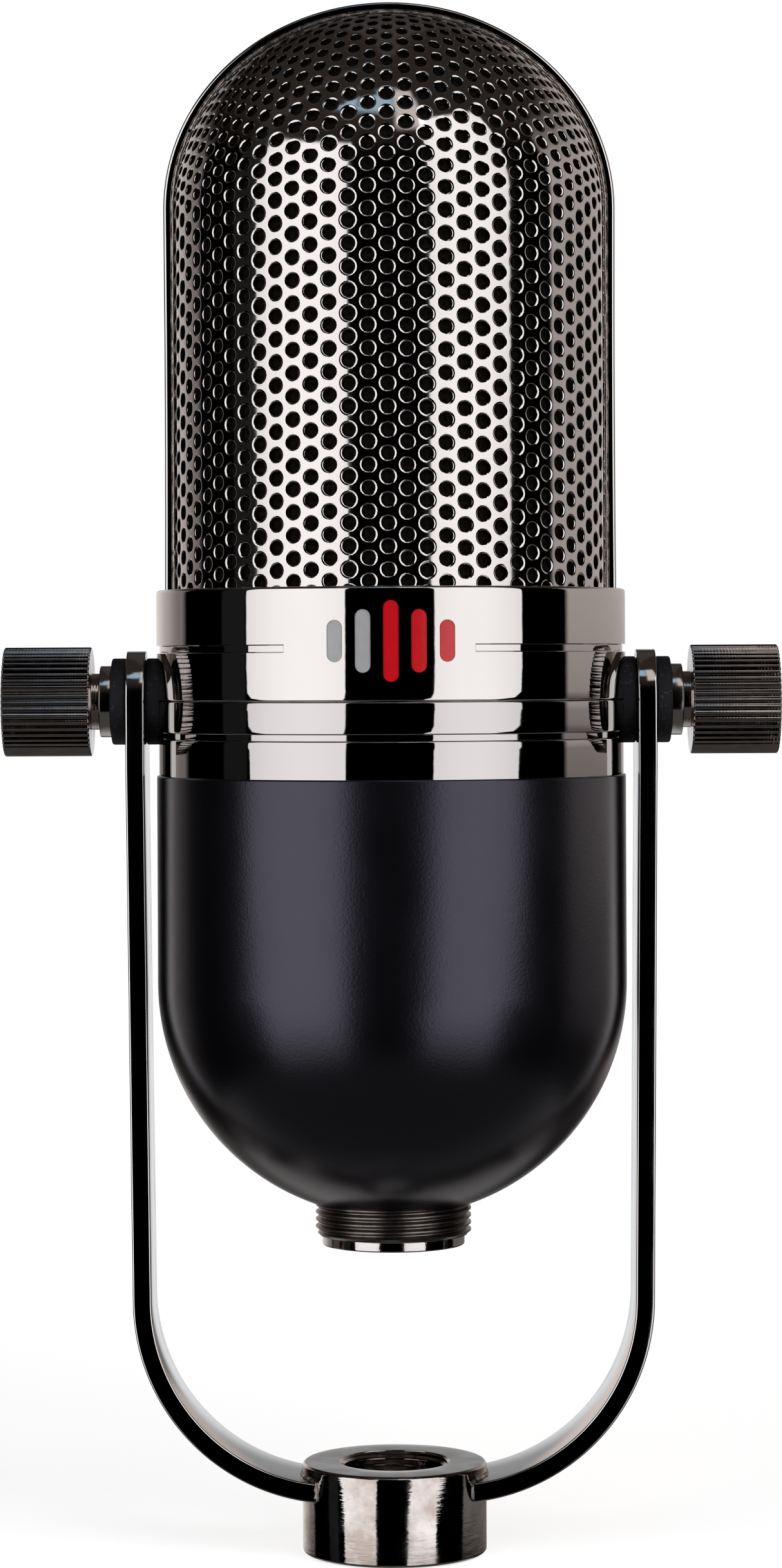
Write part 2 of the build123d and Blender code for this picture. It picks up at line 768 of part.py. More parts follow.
with BuildPart() as transformer_winding:
    winding_half_x = core_leg_half_x + core_window_x - GAP
    with BuildSketch(Plane.XY.offset(core_middle_z - window_height / 2 + GAP)):
        RectangleRounded(2 * winding_half_x, 2 * winding_half_y, winding_corner_r)
        Rectangle(2 * (core_leg_half_x + GAP), 2 * (core_half_y + GAP), mode=Mode.SUBTRACT)
    extrude(amount=window_height - 2 * GAP)
pieces["transformer_winding"] = transformer_winding.part

with BuildPart() as transformer_bracket:
    wall_x = core_half_x + bracket_thickness
    foot_x = wall_x + bracket_foot
    with BuildSketch(Plane.XZ):
        with BuildLine():
            Polyline(
                (-foot_x, deck_top_z),
                (-core_half_x, deck_top_z),
                (-core_half_x, core_top_z),
                (core_half_x, core_top_z),
                (core_half_x, deck_top_z),
                (foot_x, deck_top_z),
                (foot_x, deck_top_z + bracket_thickness),
                (wall_x, deck_top_z + bracket_thickness),
                (wall_x, core_top_z + bracket_thickness),
                (-wall_x, core_top_z + bracket_thickness),
                (-wall_x, deck_top_z + bracket_thickness),
                (-foot_x, deck_top_z + bracket_thickness),
                close=True,
            )
        make_face()
    extrude(amount=bracket_half_y, both=True)
pieces["transformer_bracket"] = transformer_bracket.part


# ---------------------------------------------------------------- wiring
def lead(points, bend_r):
    """Insulated wire along straight runs joined by arcs."""
    with BuildPart() as wire:
        with BuildLine() as route:
            FilletPolyline(*points, radius=bend_r)
        with BuildSketch(Plane(origin=route.wire() @ 0, z_dir=route.wire() % 0)):
            Circle(lead_r)
        sweep(path=route.wire())
    return wire.part


winding_z = core_middle_z
with BuildPart() as ribbon_leads:
    for lead_x, clamp_z in ((ribbon_lead_x, clamp_low_z), (-ribbon_lead_x, top_clamp_z)):
        start_z = clamp_z + ribbon_lead_start
        route_points = (
            (lead_x / 2, clamp_half_y, start_z),
            (lead_x / 2, ribbon_lead_y, start_z),
            (lead_x, ribbon_lead_y, start_z - ribbon_lead_step),
            (lead_x, ribbon_lead_y, winding_z),
            (lead_x, winding_half_y, winding_z),
        )
        add(lead(route_points, ribbon_lead_bend_r))
pieces["ribbon_leads"] = ribbon_leads.part

with BuildPart() as output_leads:
    for index, lead_x in enumerate((0, output_lead_x, -output_lead_x)):
        angle = radians(-90 + 120 * index)
        pin_x = pin_circle_r * cos(angle)
        pin_y = pin_circle_r * sin(angle)
        route_points = (
            (lead_x, -winding_half_y, winding_z),
            (lead_x, output_lead_y, winding_z),
            (lead_x, output_lead_y, deck_low_z - output_lead_drop),
            (pin_x, pin_y, pin_cup_z + output_lead_rise),
            (pin_x, pin_y, pin_cup_z),
        )
        add(lead(route_points, output_lead_bend_r))
pieces["output_leads"] = output_leads.part

# ---------------------------------------------------------------- files
os.makedirs("parts", exist_ok=True)
for name, piece in pieces.items():
    piece.label = name
    export_step(piece, f"parts/{name}.step")
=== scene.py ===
import json
import math
import random

import bmesh
import bpy
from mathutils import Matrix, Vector


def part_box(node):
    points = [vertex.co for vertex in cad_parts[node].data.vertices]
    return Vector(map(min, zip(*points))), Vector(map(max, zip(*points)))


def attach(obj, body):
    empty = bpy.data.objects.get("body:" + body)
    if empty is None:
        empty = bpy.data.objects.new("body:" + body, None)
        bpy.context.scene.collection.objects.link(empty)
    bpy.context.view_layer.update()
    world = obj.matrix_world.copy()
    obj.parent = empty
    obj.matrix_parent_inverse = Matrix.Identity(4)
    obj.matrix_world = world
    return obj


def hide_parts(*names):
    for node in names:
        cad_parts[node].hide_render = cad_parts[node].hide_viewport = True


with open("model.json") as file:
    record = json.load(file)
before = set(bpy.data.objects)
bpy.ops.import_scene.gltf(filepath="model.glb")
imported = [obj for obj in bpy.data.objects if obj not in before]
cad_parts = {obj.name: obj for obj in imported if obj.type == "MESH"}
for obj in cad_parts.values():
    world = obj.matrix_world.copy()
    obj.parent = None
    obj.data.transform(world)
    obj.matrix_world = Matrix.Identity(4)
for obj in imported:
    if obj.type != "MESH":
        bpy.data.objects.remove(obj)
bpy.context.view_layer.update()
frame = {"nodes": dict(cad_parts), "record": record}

MM = 0.001
FULL = 2 * math.pi
ALONG_X = Vector((1, 0, 0))
ALONG_Y = Vector((0, 1, 0))
scene = bpy.context.scene
nodes = frame["nodes"]


# ---------- places from the frame
def low(node):
    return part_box(node)[0]


def high(node):
    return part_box(node)[1]


pivot_z = (low("stud_left").z + high("stud_left").z) / 2
collar_r = high("collar_upper").x
collar_top = high("collar_upper").z
collar_joint = low("collar_upper").z
grille_r = high("grille_front").x
grille_foot = low("grille_front").z
grille_rise = 29.4 * MM
dome_z = high("grille_front").z - grille_rise
hoop_r = high("grille_hoop").x
hoop_rise = high("grille_hoop").z - dome_z
hoop_half = high("grille_hoop").y
bowl_r = high("body_bowl").x
bowl_top = high("body_bowl").z
sleeve_r = high("connector_sleeve").x
boss_r = high("stand_boss").x
boss_top = high("stand_boss").z
arm_inner = high("inner_washer_right").x
arm_outer = high("yoke_arm_right").x
arm_top = high("yoke_arm_right").z
arm_half = high("yoke_arm_right").y
sleeve_bottom = low("connector_sleeve").z
lip_height = 1.5 * MM  # plain lip below the connector sleeve's thread
lip_top = sleeve_bottom + lip_height
fit_gap = 0.05 * MM  # room left between pieces that lie against each other


# ---------- mesh helpers
def linked(name, data):
    """New object of the scene for a mesh or a camera."""
    made = bpy.data.objects.new(name, data)
    scene.collection.objects.link(made)
    return made


def new_object(name, vertices, faces, smooth_angle=35):
    """Mesh object with smooth shading, sharp where faces meet at more than smooth_angle degrees."""
    mesh = bpy.data.meshes.new(name)
    mesh.from_pydata([tuple(v) for v in vertices], [], faces)
    mesh.validate()
    built = linked(name, mesh)
    tidy(built, smooth_angle)
    return built


def tidy(obj, smooth_angle=35):
    """Merges doubled points, turns the faces outwards and sets the shading."""
    work = bmesh.new()
    work.from_mesh(obj.data)
    bmesh.ops.remove_doubles(work, verts=work.verts, dist=1e-7)
    bmesh.ops.dissolve_degenerate(work, edges=work.edges, dist=1e-7)
    bmesh.ops.recalc_face_normals(work, faces=work.faces)
    work.to_mesh(obj.data)
    work.free()
    obj.data.shade_smooth()
    obj.data.set_sharp_from_angle(angle=math.radians(smooth_angle))


def rounded(outline, steps=5):
    """Closed outline of (x, y, corner radius) as plain points, its corners as arcs."""
    points = []
    for index, (x, y, bend) in enumerate(outline):
        here = Vector((x, y))
        if bend <= 0:
            points.append(here)
            continue
        before = (Vector(outline[index - 1][:2]) - here).normalized()
        after = (Vector(outline[(index + 1) % len(outline)][:2]) - here).normalized()
        half_angle = before.angle(after) / 2
        centre = here + (before + after).normalized() * bend / math.sin(half_angle)
        reach = bend / math.tan(half_angle)
        first = here + before * reach - centre
        last = here + after * reach - centre
        start = math.atan2(first.y, first.x)
        turn = math.atan2(last.y, last.x) - start
        turn = (turn + math.pi) % FULL - math.pi
        for step in range(steps + 1):
            angle = start + turn * step / steps
            points.append(centre + bend * Vector((math.cos(angle), math.sin(angle))))
    return points


def rounded_box(left, right, bottom, top, bends, steps=5):
    """Rectangle whose corners are rounded by bends, from the left bottom one round to the left top."""
    corners = ((left, bottom), (right, bottom), (right, top), (left, top))
    return rounded([(x, y, bend) for (x, y), bend in zip(corners, bends)], steps)


def arc(centre, radius, start_deg, end_deg, steps):
    """Points of an arc in the outline's plane."""
    points = []
    for step in range(steps + 1):
        angle = math.radians(start_deg + (end_deg - start_deg) * step / steps)
        points.append(Vector(centre) + radius * Vector((math.cos(angle), math.sin(angle))))
    return points


def lathe(name, outline, steps=None, shape=None, side=0, smooth_angle=35, angles=None):
    """Turns a closed outline of (radius, height) about Z, or about the tilt axis on one side (-1, 1), in
    even steps or at the angles given. shape(radius, height, angle) may change the radius, as for flutes.
    An outline that is a function of the angle makes a thread: it is a pitch further on after one turn."""
    angles = angles or [FULL * step / steps for step in range(steps)]
    helical = callable(outline)
    if helical:
        outline_at = outline
        angles = angles + [FULL]
        outline = outline_at(0)
    steps = len(angles)
    vertices = []
    for angle in angles:
        for radius, height in outline_at(angle) if helical else outline:
            r = shape(radius, height, angle) if shape else radius
            if side:
                vertices.append((side * height, r * math.cos(angle), pivot_z + side * r * math.sin(angle)))
            else:
                vertices.append((r * math.cos(angle), r * math.sin(angle), height))
    count = len(outline)
    faces = []
    for step in range(steps - 1 if helical else steps):
        here = step * count
        there = (step + 1) % steps * count
        for index in range(count):
            after = (index + 1) % count
            faces.append((here + index, there + index, there + after, here + after))
    return new_object(name, vertices, faces, smooth_angle)


def sweep(name, path, frames, section, smooth_angle=35, closed=False):
    """Moves a closed section of (a, b) along path. frames gives the (a, b) directions at each point,
    and section may be a function of the point's index."""
    vertices = []
    for index, (spot, (along_a, along_b)) in enumerate(zip(path, frames)):
        outline = section(index) if callable(section) else section
        for a, b in outline:
            vertices.append(spot + along_a * a + along_b * b)
    count = len(outline)
    faces = []
    rings = len(path)
    for ring in range(rings if closed else rings - 1):
        here = ring * count
        there = (ring + 1) % rings * count
        for index in range(count):
            after = (index + 1) % count
            faces.append((here + index, here + after, there + after, there + index))
    if not closed:
        faces.append(tuple(range(count))[::-1])
        faces.append(tuple(range((rings - 1) * count, rings * count)))
    return new_object(name, vertices, faces, smooth_angle)


def bead(name, path, sizes, closed=False):
    """Round bead along path, with a radius for each of its points."""
    sides = 8
    rings = len(path)
    frames = []
    for index in range(rings):
        before = path[index - 1] if closed or index > 0 else path[index]
        after = path[(index + 1) % rings] if closed or index < rings - 1 else path[index]
        way = (after - before).normalized()
        helper = Vector((0, 0, 1)) if abs(way.z) < 0.9 else ALONG_X
        first = way.cross(helper).normalized()
        frames.append((first, way.cross(first).normalized()))

    def section(index):
        turns = [FULL * corner / sides for corner in range(sides)]
        return [(sizes[index] * math.cos(turn), sizes[index] * math.sin(turn)) for turn in turns]

    return sweep(name, path, frames, section, smooth_angle=80, closed=closed)


def cut(obj, cutter):
    """Takes cutter's volume out of obj, then removes cutter."""
    difference = obj.modifiers.new("cut", "BOOLEAN")
    difference.operation = "DIFFERENCE"
    difference.solver = "EXACT"
    difference.object = cutter
    bpy.context.view_layer.update()
    result = bpy.data.meshes.new_from_object(obj.evaluated_get(bpy.context.evaluated_depsgraph_get()))
    obj.modifiers.clear()
    obj.data = result
    bpy.data.objects.remove(cutter)
    tidy(obj)


def place(obj, body, material, *replaced, slot="black_nickel"):
    """Gives a piece its material, lets it ride on its body and stand for CAD nodes. slot is not used."""
    obj.data.materials.clear()
    obj.data.materials.append(material)
    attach(obj, body)
    if replaced:
        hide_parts(*replaced)


# ---------- materials
class Nodes:
    """Short ways to add nodes to a tree. position is what its textures follow."""

    def __init__(self, tree, coordinates):
        self.tree = tree
        self.position = self.node("TexCoord").outputs[coordinates]

    def node(self, kind, inputs=None, **settings):
        made = self.tree.nodes.new("ShaderNode" + kind)
        for key, value in settings.items():
            setattr(made, key, value)
        return self.fill(made, inputs or {})

    def fill(self, made, inputs):
        """Gives each named input a number, a colour or another node's output."""
        for key, value in inputs.items():
            if isinstance(value, bpy.types.NodeSocket):
                self.tree.links.new(value, made.inputs[key])
            else:
                made.inputs[key].default_value = value
        return made

    def math(self, operation, *values):
        return self.node("Math", dict(enumerate(values)), operation=operation).outputs["Value"]

    def product(self, first, *others):
        for other in others:
            first = self.math("MULTIPLY", first, other)
        return first

    def ramp(self, value, from_low, from_high, to_low=0.0, to_high=1.0, kind="LINEAR"):
        inputs = {"Value": value, "From Min": from_low, "From Max": from_high}
        inputs.update({"To Min": to_low, "To Max": to_high})
        return self.node("MapRange", inputs, interpolation_type=kind).outputs["Result"]

    def noise(self, scale, detail=3.0, roughness=0.55, vector=None):
        inputs = {"Scale": scale, "Detail": detail, "Roughness": roughness, "Vector": vector or self.position}
        return self.node("TexNoise", inputs).outputs["Fac"]


class Shader(Nodes):
    """A material with a Principled shader, whose textures lie in the object's own space."""

    def __init__(self, name, color, metallic, roughness, specular=0.5):
        self.material = bpy.data.materials.new(name)
        self.material.use_nodes = True
        super().__init__(self.material.node_tree, "Object")
        self.principled = self.tree.nodes["Principled BSDF"]
        inputs = {"Base Color": (*color, 1), "Metallic": metallic, "Roughness": roughness}
        self.fill(self.principled, inputs | {"Specular IOR Level": specular})

    def stretched(self, x, y, z):
        """The position with each axis scaled."""
        return self.node("Mapping", {"Scale": (x, y, z), "Vector": self.position}).outputs["Vector"]

    def waves(self, direction, inputs):
        made = self.node("TexWave", inputs, wave_type="BANDS", bands_direction=direction)
        return made.outputs["Fac"]

    def mix(self, factor, first, second):
        """From the colour first to second, which may also be another node's output."""
        second = (*second, 1) if isinstance(second, tuple) else second
        inputs = {"Factor": factor, "A": (*first, 1), "B": second}
        return self.node("Mix", inputs, data_type="RGBA").outputs["Result"]

    def color(self, value):
        self.fill(self.principled, {"Base Color": value})

    def rough(self, value):
        self.fill(self.principled, {"Roughness": value})

    def blotches(self, scale, detail, first, second):
        self.color(self.mix(self.noise(scale, detail), first, second))

    def haze(self, scale, detail, from_low, from_high, to_low, to_high):
        self.rough(self.ramp(self.noise(scale, detail), from_low, from_high, to_low, to_high))

    def bump(self, height, distance):
        """Adds a bump on top of those already there. distance is in metres."""
        made = self.node("Bump", {"Distance": distance, "Strength": 1.0, "Height": height})
        normal = self.principled.inputs["Normal"]
        if normal.is_linked:
            self.fill(made, {"Normal": normal.links[0].from_socket})
        self.fill(self.principled, {"Normal": made.outputs["Normal"]})


turning_step = 0.47 * MM  # between the fine steps that turning leaves along the knob
NICKEL = (0.52, 0.50, 0.49)
NICKEL_DARK = (0.48, 0.462, 0.45)


def plated(name, ripple, ripple_scale, rough_low, rough_high, light=NICKEL, dark=NICKEL_DARK):
    """Black nickel plate: slight ripples left by polishing, fine wipe marks and hazy patches."""
    shader = Shader(name, light, 1.0, rough_low)
    shader.haze(90.0, 4.0, 0.35, 0.75, rough_low, rough_high)
    shader.blotches(45.0, 3.0, dark, light)
    shader.bump(shader.noise(ripple_scale, 2.0), ripple * MM)
    shader.bump(shader.noise(600.0, 2.0, vector=shader.stretched(1.0, 1.0, 0.12)), 0.0008 * MM)
    return shader.material


def knurled(name):
    """Bright plate with brown blotches, and fine turning steps that are worn away in places."""
    shader = Shader(name, NICKEL, 1.0, 0.2)
    shader.blotches(400.0, 3.0, (0.27, 0.235, 0.225), (0.5, 0.465, 0.45))
    shader.haze(900.0, 3.0, 0.35, 0.7, 0.08, 0.17)
    scale = FULL / (20 * turning_step)
    steps = shader.waves("X", {"Scale": scale, "Distortion": 1.5, "Detail": 1.0, "Vector": shader.position})
    worn = shader.ramp(shader.noise(700.0, 2.0), 0.42, 0.6, 0.15, 1.0)
    shader.bump(shader.product(steps, worn), 0.007 * MM)
    shader.bump(shader.noise(2400.0, 1.0, 0.4), 0.004 * MM)
    return shader.material


def turned_plate(name):
    """Black nickel with brown patches over a turned boss. Ragged ripples run round its outside."""
    shader = Shader(name, NICKEL, 1.0, 0.06)
    blotch = shader.ramp(shader.noise(160.0, 4.0, 0.6), 0.4, 0.62)
    shader.color(shader.mix(blotch, (0.34, 0.29, 0.26), NICKEL))
    shader.haze(220.0, 3.0, 0.35, 0.7, 0.04, 0.12)
    turning = shader.noise(340.0, 3.0, 0.55, vector=shader.stretched(1.0, 1.0, 5.5))
    from_axis = shader.node("VectorMath", {0: shader.stretched(1.0, 1.0, 0.0)}, operation="LENGTH")
    outside = shader.ramp(from_axis.outputs["Value"], 0.6 * boss_r, 0.95 * boss_r)
    shader.bump(shader.product(turning, outside), 0.03 * MM)
    return shader.material


def powder_coat():
    """Satin black powder coat with its fine grain."""
    shader = Shader("black_powder_coat", (0.0035, 0.0033, 0.0045), 0.0, 0.25, 0.68)
    shader.fill(shader.principled, {"Specular Tint": (0.82, 0.8, 1.0, 1)})
    shader.blotches(60.0, 3.0, (0.003, 0.0028, 0.004), (0.004, 0.0038, 0.0055))
    shader.haze(120.0, 4.0, 0.3, 0.7, 0.225, 0.255)
    shader.bump(shader.noise(2600.0, 3.0, 0.6), 0.018 * MM)
    shader.bump(shader.noise(700.0, 2.0), 0.005 * MM)
    return shader.material


def dark_thread():
    """Dark plate over cut threads, polished only on the lip below them."""
    shader = Shader("black_nickel_thread", NICKEL, 1.0, 0.2)
    blotch = shader.mix(shader.noise(500.0, 4.0, 0.7), (0.06, 0.05, 0.045), (0.26, 0.235, 0.22))
    height = shader.node("SeparateXYZ", {"Vector": shader.position}).outputs["Z"]
    above_lip = shader.ramp(height, lip_top, lip_top + 0.2 * MM)
    shader.color(shader.mix(above_lip, NICKEL, blotch))
    shader.rough(shader.ramp(above_lip, 0.0, 1.0, 0.07, 0.3))
    shader.bump(shader.noise(900.0, 3.0, 0.6), 0.02 * MM)
    return shader.material


def rubber():
    """Matt moulded rubber with dust and small pits."""
    shader = Shader("moulded_rubber", (0.011, 0.010, 0.013), 0.0, 0.66, 0.3)
    dust = shader.ramp(shader.noise(1800.0, 5.0, 0.7), 0.58, 0.7)
    shader.color(shader.mix(dust, (0.009, 0.008, 0.011), (0.07, 0.065, 0.075)))
    shader.bump(shader.noise(1400.0, 4.0, 0.65), 0.07 * MM)
    return shader.material


def woven_cloth():
    """Black acoustic cloth: two sets of threads that cross, with painted shade where they sink."""
    shader = Shader("acoustic_cloth", (0.006, 0.005, 0.004), 0.0, 0.95, 0.1)
    upright = shader.waves("DIAGONAL", {"Scale": 500.0, "Vector": shader.stretched(1.0, 1.0, 0.0)})
    level = shader.waves("DIAGONAL", {"Scale": 500.0, "Vector": shader.stretched(0.0, 0.0, 1.0)})
    height = shader.math("MAXIMUM", level, upright)
    # painted shade: the colour darkens where the threads sink between each other
    shader.color(shader.mix(height, (0.002, 0.0015, 0.001), (0.009, 0.0075, 0.006)))
    shader.bump(height, 0.08 * MM)
    return shader.material


def enamel(name, color):
    """Enamel poured into the badge, a little uneven."""
    shader = Shader(name, color, 0.0, 0.22, 0.5)
    darker = tuple(0.8 * channel for channel in color)
    shader.blotches(700.0, 3.0, darker, color)
    shader.bump(shader.noise(900.0, 2.0), 0.02 * MM)
    return shader.material


def solder():
    """Tinned seam with brown flux left in it."""
    shader = Shader("seam_solder", (0.30, 0.25, 0.2), 1.0, 0.3)
    shader.blotches(500.0, 4.0, (0.12, 0.075, 0.05), (0.5, 0.45, 0.42))
    shader.haze(800.0, 3.0, 0.3, 0.7, 0.15, 0.5)
    shader.bump(shader.noise(900.0, 3.0), 0.12 * MM)
    return shader.material


def plain_finish(name, color, metallic, roughness, grain, grain_scale):
    """For pieces inside the head: one colour with fine variation, grain in millimetres."""
    shader = Shader(name, color, metallic, roughness)
    darker = tuple(0.72 * channel for channel in color)
    shader.blotches(grain_scale / 4, 4.0, darker, color)
    shader.haze(grain_scale / 2, 3.0, 0.3, 0.7, 0.8 * roughness, 1.2 * roughness)
    shader.bump(shader.noise(grain_scale, 3.0), grain * MM)
    return shader.material


polished = plated("black_nickel_polished", 0.0018, 550.0, 0.02, 0.035)
# Darker copy of the polished plate for the middle and lower collars: painted shade that dims their
# reflections.
shaded_nickel = plated(
    "black_nickel_shaded", 0.0018, 550.0, 0.02, 0.04, light=(0.43, 0.413, 0.408), dark=(0.40, 0.384, 0.378)
)
sheet_nickel = plated("black_nickel_sheet", 0.012, 320.0, 0.045, 0.09)
strap_nickel = plated("black_nickel_strap", 0.012, 120.0, 0.05, 0.11)
boss_nickel = turned_plate("black_nickel_boss")
knob_nickel = knurled("black_nickel_knob")
ring_nickel = plated("black_nickel_ring", 0.004, 400.0, 0.10, 0.18)
thread_nickel = dark_thread()
stud_nickel = plated("black_nickel_stud", 0.02, 500.0, 0.12, 0.22, dark=(0.22, 0.19, 0.175))
coat = powder_coat()
black_rubber = rubber()
cloth = woven_cloth()
seam_solder = solder()
grey_enamel = enamel("grey_enamel", (0.58, 0.59, 0.60))
red_enamel = enamel("red_enamel", (0.90, 0.010, 0.02))

slot_finish = {
    "black_nickel": polished,
    "black_coat": coat,
    "dark_nickel_thread": thread_nickel,
    "black_rubber": black_rubber,
    "black_cloth": cloth,
    "grey_enamel": grey_enamel,
    "red_enamel": red_enamel,
}
for finish in (
    ("insulator_plastic", (0.02, 0.02, 0.02), 0.0, 0.45, 0.01, 1500.0),
    ("gold_contacts", (0.85, 0.6, 0.22), 1.0, 0.2, 0.003, 900.0),
    ("zinc_steel", (0.6, 0.6, 0.62), 1.0, 0.32, 0.006, 1200.0),
    ("magnet_nickel", (0.68, 0.66, 0.62), 1.0, 0.2, 0.004, 500.0),
    ("brass", (0.74, 0.56, 0.26), 1.0, 0.28, 0.005, 900.0),
    ("cast_frame", (0.52, 0.52, 0.53), 1.0, 0.42, 0.02, 700.0),
    ("ribbon_foil", (0.88, 0.88, 0.89), 1.0, 0.18, 0.004, 1500.0),
    ("core_steel", (0.16, 0.16, 0.17), 0.9, 0.5, 0.02, 1800.0),
    ("winding_tape", (0.62, 0.43, 0.08), 0.0, 0.38, 0.01, 900.0),
    ("lead_jacket", (0.03, 0.03, 0.03), 0.0, 0.5, 0.01, 1600.0),
):
    slot_finish[finish[0]] = plain_finish(*finish)
node_slot = {part["node"]: part["material_slot"] for part in frame["record"]["subparts"]}
for name, node in nodes.items():
    node.data.materials.clear()
    node.data.materials.append(slot_finish[node_slot[name]])
    node.data.shade_smooth()
    node.data.set_sharp_from_angle(angle=math.radians(30))


# ---------- collars and badge
collar_wall = 2.5 * MM
collar_steps = 288
rim_round = 0.5 * MM  # on the upper collar's top edge
edge_round = 0.22 * MM
roll_length = 1.3 * MM  # the plated faces roll off a little before each edge
roll_depth = 0.02 * MM
groove_depth = 0.45 * MM
groove_round = 0.16 * MM
groove_low = 134.05 * MM
groove_high = 135.1 * MM
groove_start_deg = 20.2  # from the front towards the right
groove_end_deg = 26.0  # from the front towards the left
bar_heights = (6.0, 9.0, 11.6, 9.0, 6.0)
bar_pitch = 4.0 * MM
bar_width = 2.2 * MM
bar_end_round = 1.089 * MM  # just under half the width
badge_z = 135.6 * MM
pocket_depth = 0.4 * MM


def rolled_corner(radius, edge, inwards, size, roll_steps=5, corner_steps=5):
    """Outline from a face's plain part to just round its edge. inwards is 1 when the face lies above."""
    points = []
    for step in range(roll_steps + 1):
        share = 1 - step / roll_steps
        height = edge + inwards * (size + (roll_length - size) * share)
        points.append(Vector((radius - roll_depth * (1 - share) ** 2, height)))
    for step in range(1, corner_steps + 1):
        turn = math.pi / 2 * step / corner_steps
        drop = roll_depth + size * (1 - math.cos(turn))
        points.append(Vector((radius - drop, edge + inwards * size * (1 - math.sin(turn)))))
    return points


def ring_outline(outer, inner, bottom, top, top_round, bottom_round, between=()):
    """Closed outline of a collar with rolled edges. between are heights that need points of their own."""
    outline = [Vector((inner, bottom))]
    outline += reversed(rolled_corner(outer, bottom, 1, bottom_round))
    outline += [Vector((outer, height)) for height in between]
    outline += rolled_corner(outer, top, -1, top_round)
    outline.append(Vector((inner, top)))
    return outline


def smooth_step(value):
    value = max(0.0, min(1.0, value))
    return value * value * (3 - 2 * value)


def groove_shape(radius, height, angle):
    """Shallow groove with soft shoulders, from the right of the badge round the back to its left."""
    if radius < collar_r - roll_depth / 2:
        return radius
    from_front = (math.degrees(angle) + 90 + 180) % 360 - 180
    degree = math.radians(1) * collar_r
    if from_front >= 0:
        clear = (from_front - groove_start_deg) * degree
    else:
        clear = (-from_front - groove_end_deg) * degree
    level = min(height - groove_low, groove_high - height)
    across = smooth_step(0.5 + level / groove_round)
    along = smooth_step(0.5 + clear / groove_round)
    return radius - groove_depth * across * along


def groove_angles():
    """Even steps round the collar, with close ones at the groove's two ends."""
    close_step = math.radians(0.05)
    cleared = math.radians(0.7)  # even steps as near as this to an end are left out
    even = [FULL * step / collar_steps for step in range(collar_steps)]
    close = []
    for end_deg in (groove_start_deg - 90, -groove_end_deg - 90):
        end = math.radians(end_deg)
        even = [angle for angle in even if abs(angle - end % FULL) > cleared]
        close += [(end + offset * close_step) % FULL for offset in range(-6, 7)]
    return sorted(even + close)


def groove_heights():
    """Heights of the points that draw the groove's two shoulders."""
    heights = []
    for edge in (groove_low, groove_high):
        heights += [edge + offset * groove_round / 6 for offset in (-6, -3, -2, -1, 0, 1, 2, 3, 6)]
    return heights


def bar_cutter(index, height):
    """Upright bar with round ends, from the pocket's floor to a little outside the collar."""
    middle = (index - (len(bar_heights) - 1) / 2) * bar_pitch
    across = bar_width / 2
    half = height * MM / 2
    outline = rounded_box(-across, across, -half, half, [bar_end_round] * 4, steps=8)
    vertices = []
    for radius in (collar_r - pocket_depth, collar_r + pocket_depth):
        for x, z in outline:
            vertices.append((middle + x, -math.sqrt(radius**2 - (middle + x) ** 2), badge_z + z))
    count = len(outline)
    faces = [tuple(range(count)), tuple(range(count, 2 * count))[::-1]]
    for corner in range(count):
        after = (corner + 1) % count
        faces.append((corner, after, count + after, count + corner))
    return new_object("bar_cutter", vertices, faces)


upper_outline = ring_outline(
    collar_r, collar_r - collar_wall, collar_joint, collar_top, rim_round, edge_round, groove_heights()
)
upper = lathe("collar_upper_plated", upper_outline, shape=groove_shape, angles=groove_angles())
for index, height in enumerate(bar_heights):
    cut(upper, bar_cutter(index, height))
place(upper, "head", polished, "collar_upper")

middle_r = high("collar_middle").x
middle_low = low("collar_middle").z
middle_top = high("collar_middle").z
middle_inner = middle_r - collar_wall
neck_r = 34.2 * MM  # of the narrow step at the middle collar's foot
neck_top = middle_low + 0.85 * MM
middle_outline = [Vector((middle_inner, middle_low)), Vector((neck_r, middle_low))]
middle_outline.append(Vector((neck_r, neck_top)))
middle_outline += ring_outline(middle_r, middle_inner, neck_top, middle_top, edge_round, edge_round)[1:]
middle = lathe("collar_middle_plated", middle_outline, steps=collar_steps)
place(middle, "head", shaded_nickel, "collar_middle")

lower_r = high("collar_lower").x
lower_low = low("collar_lower").z
lower_top = high("collar_lower").z
lower_outline = ring_outline(lower_r, lower_r - collar_wall, lower_low, lower_top, edge_round, edge_round)
lower = lathe("collar_lower_plated", lower_outline, steps=collar_steps)
place(lower, "head", shaded_nickel, "collar_lower")


# ---------- perforated grille
column_step = 2.81 * MM
row_step = 3.308 * MM
column_shift = 2.51 * MM  # of the first column, from the middle of the front
row_shift = 150.7 * MM  # height of the first row
row_tilt = -0.0136  # rows sink a little from left to right
row_bow = -0.94  # per metre: rows hang down a little towards the sides
hole_r = 1.03 * MM
hole_spread = 0.02  # share by which the holes differ in size
rim_width = 0.34 * MM  # the sheet sinks a little towards each hole over this width and depth
rim_depth = 0.12 * MM
rim_shares = (0.0, 0.35, 0.7, 1.0)
sheet_thickness = 0.8 * MM
hole_points = 16
seam_cover = 2.6 * MM  # no hole has its middle nearer to the seam than this
foot_cover = 1.0 * MM  # nor nearer to the grille's foot than this
HEXAGON = ((2, 0), (1, 1), (-1, 1), (-2, 0), (-1, -1), (1, -1))
CELL_CORNERS = [(column_step * x / 3, row_step * y / 2) for x, y in HEXAGON]


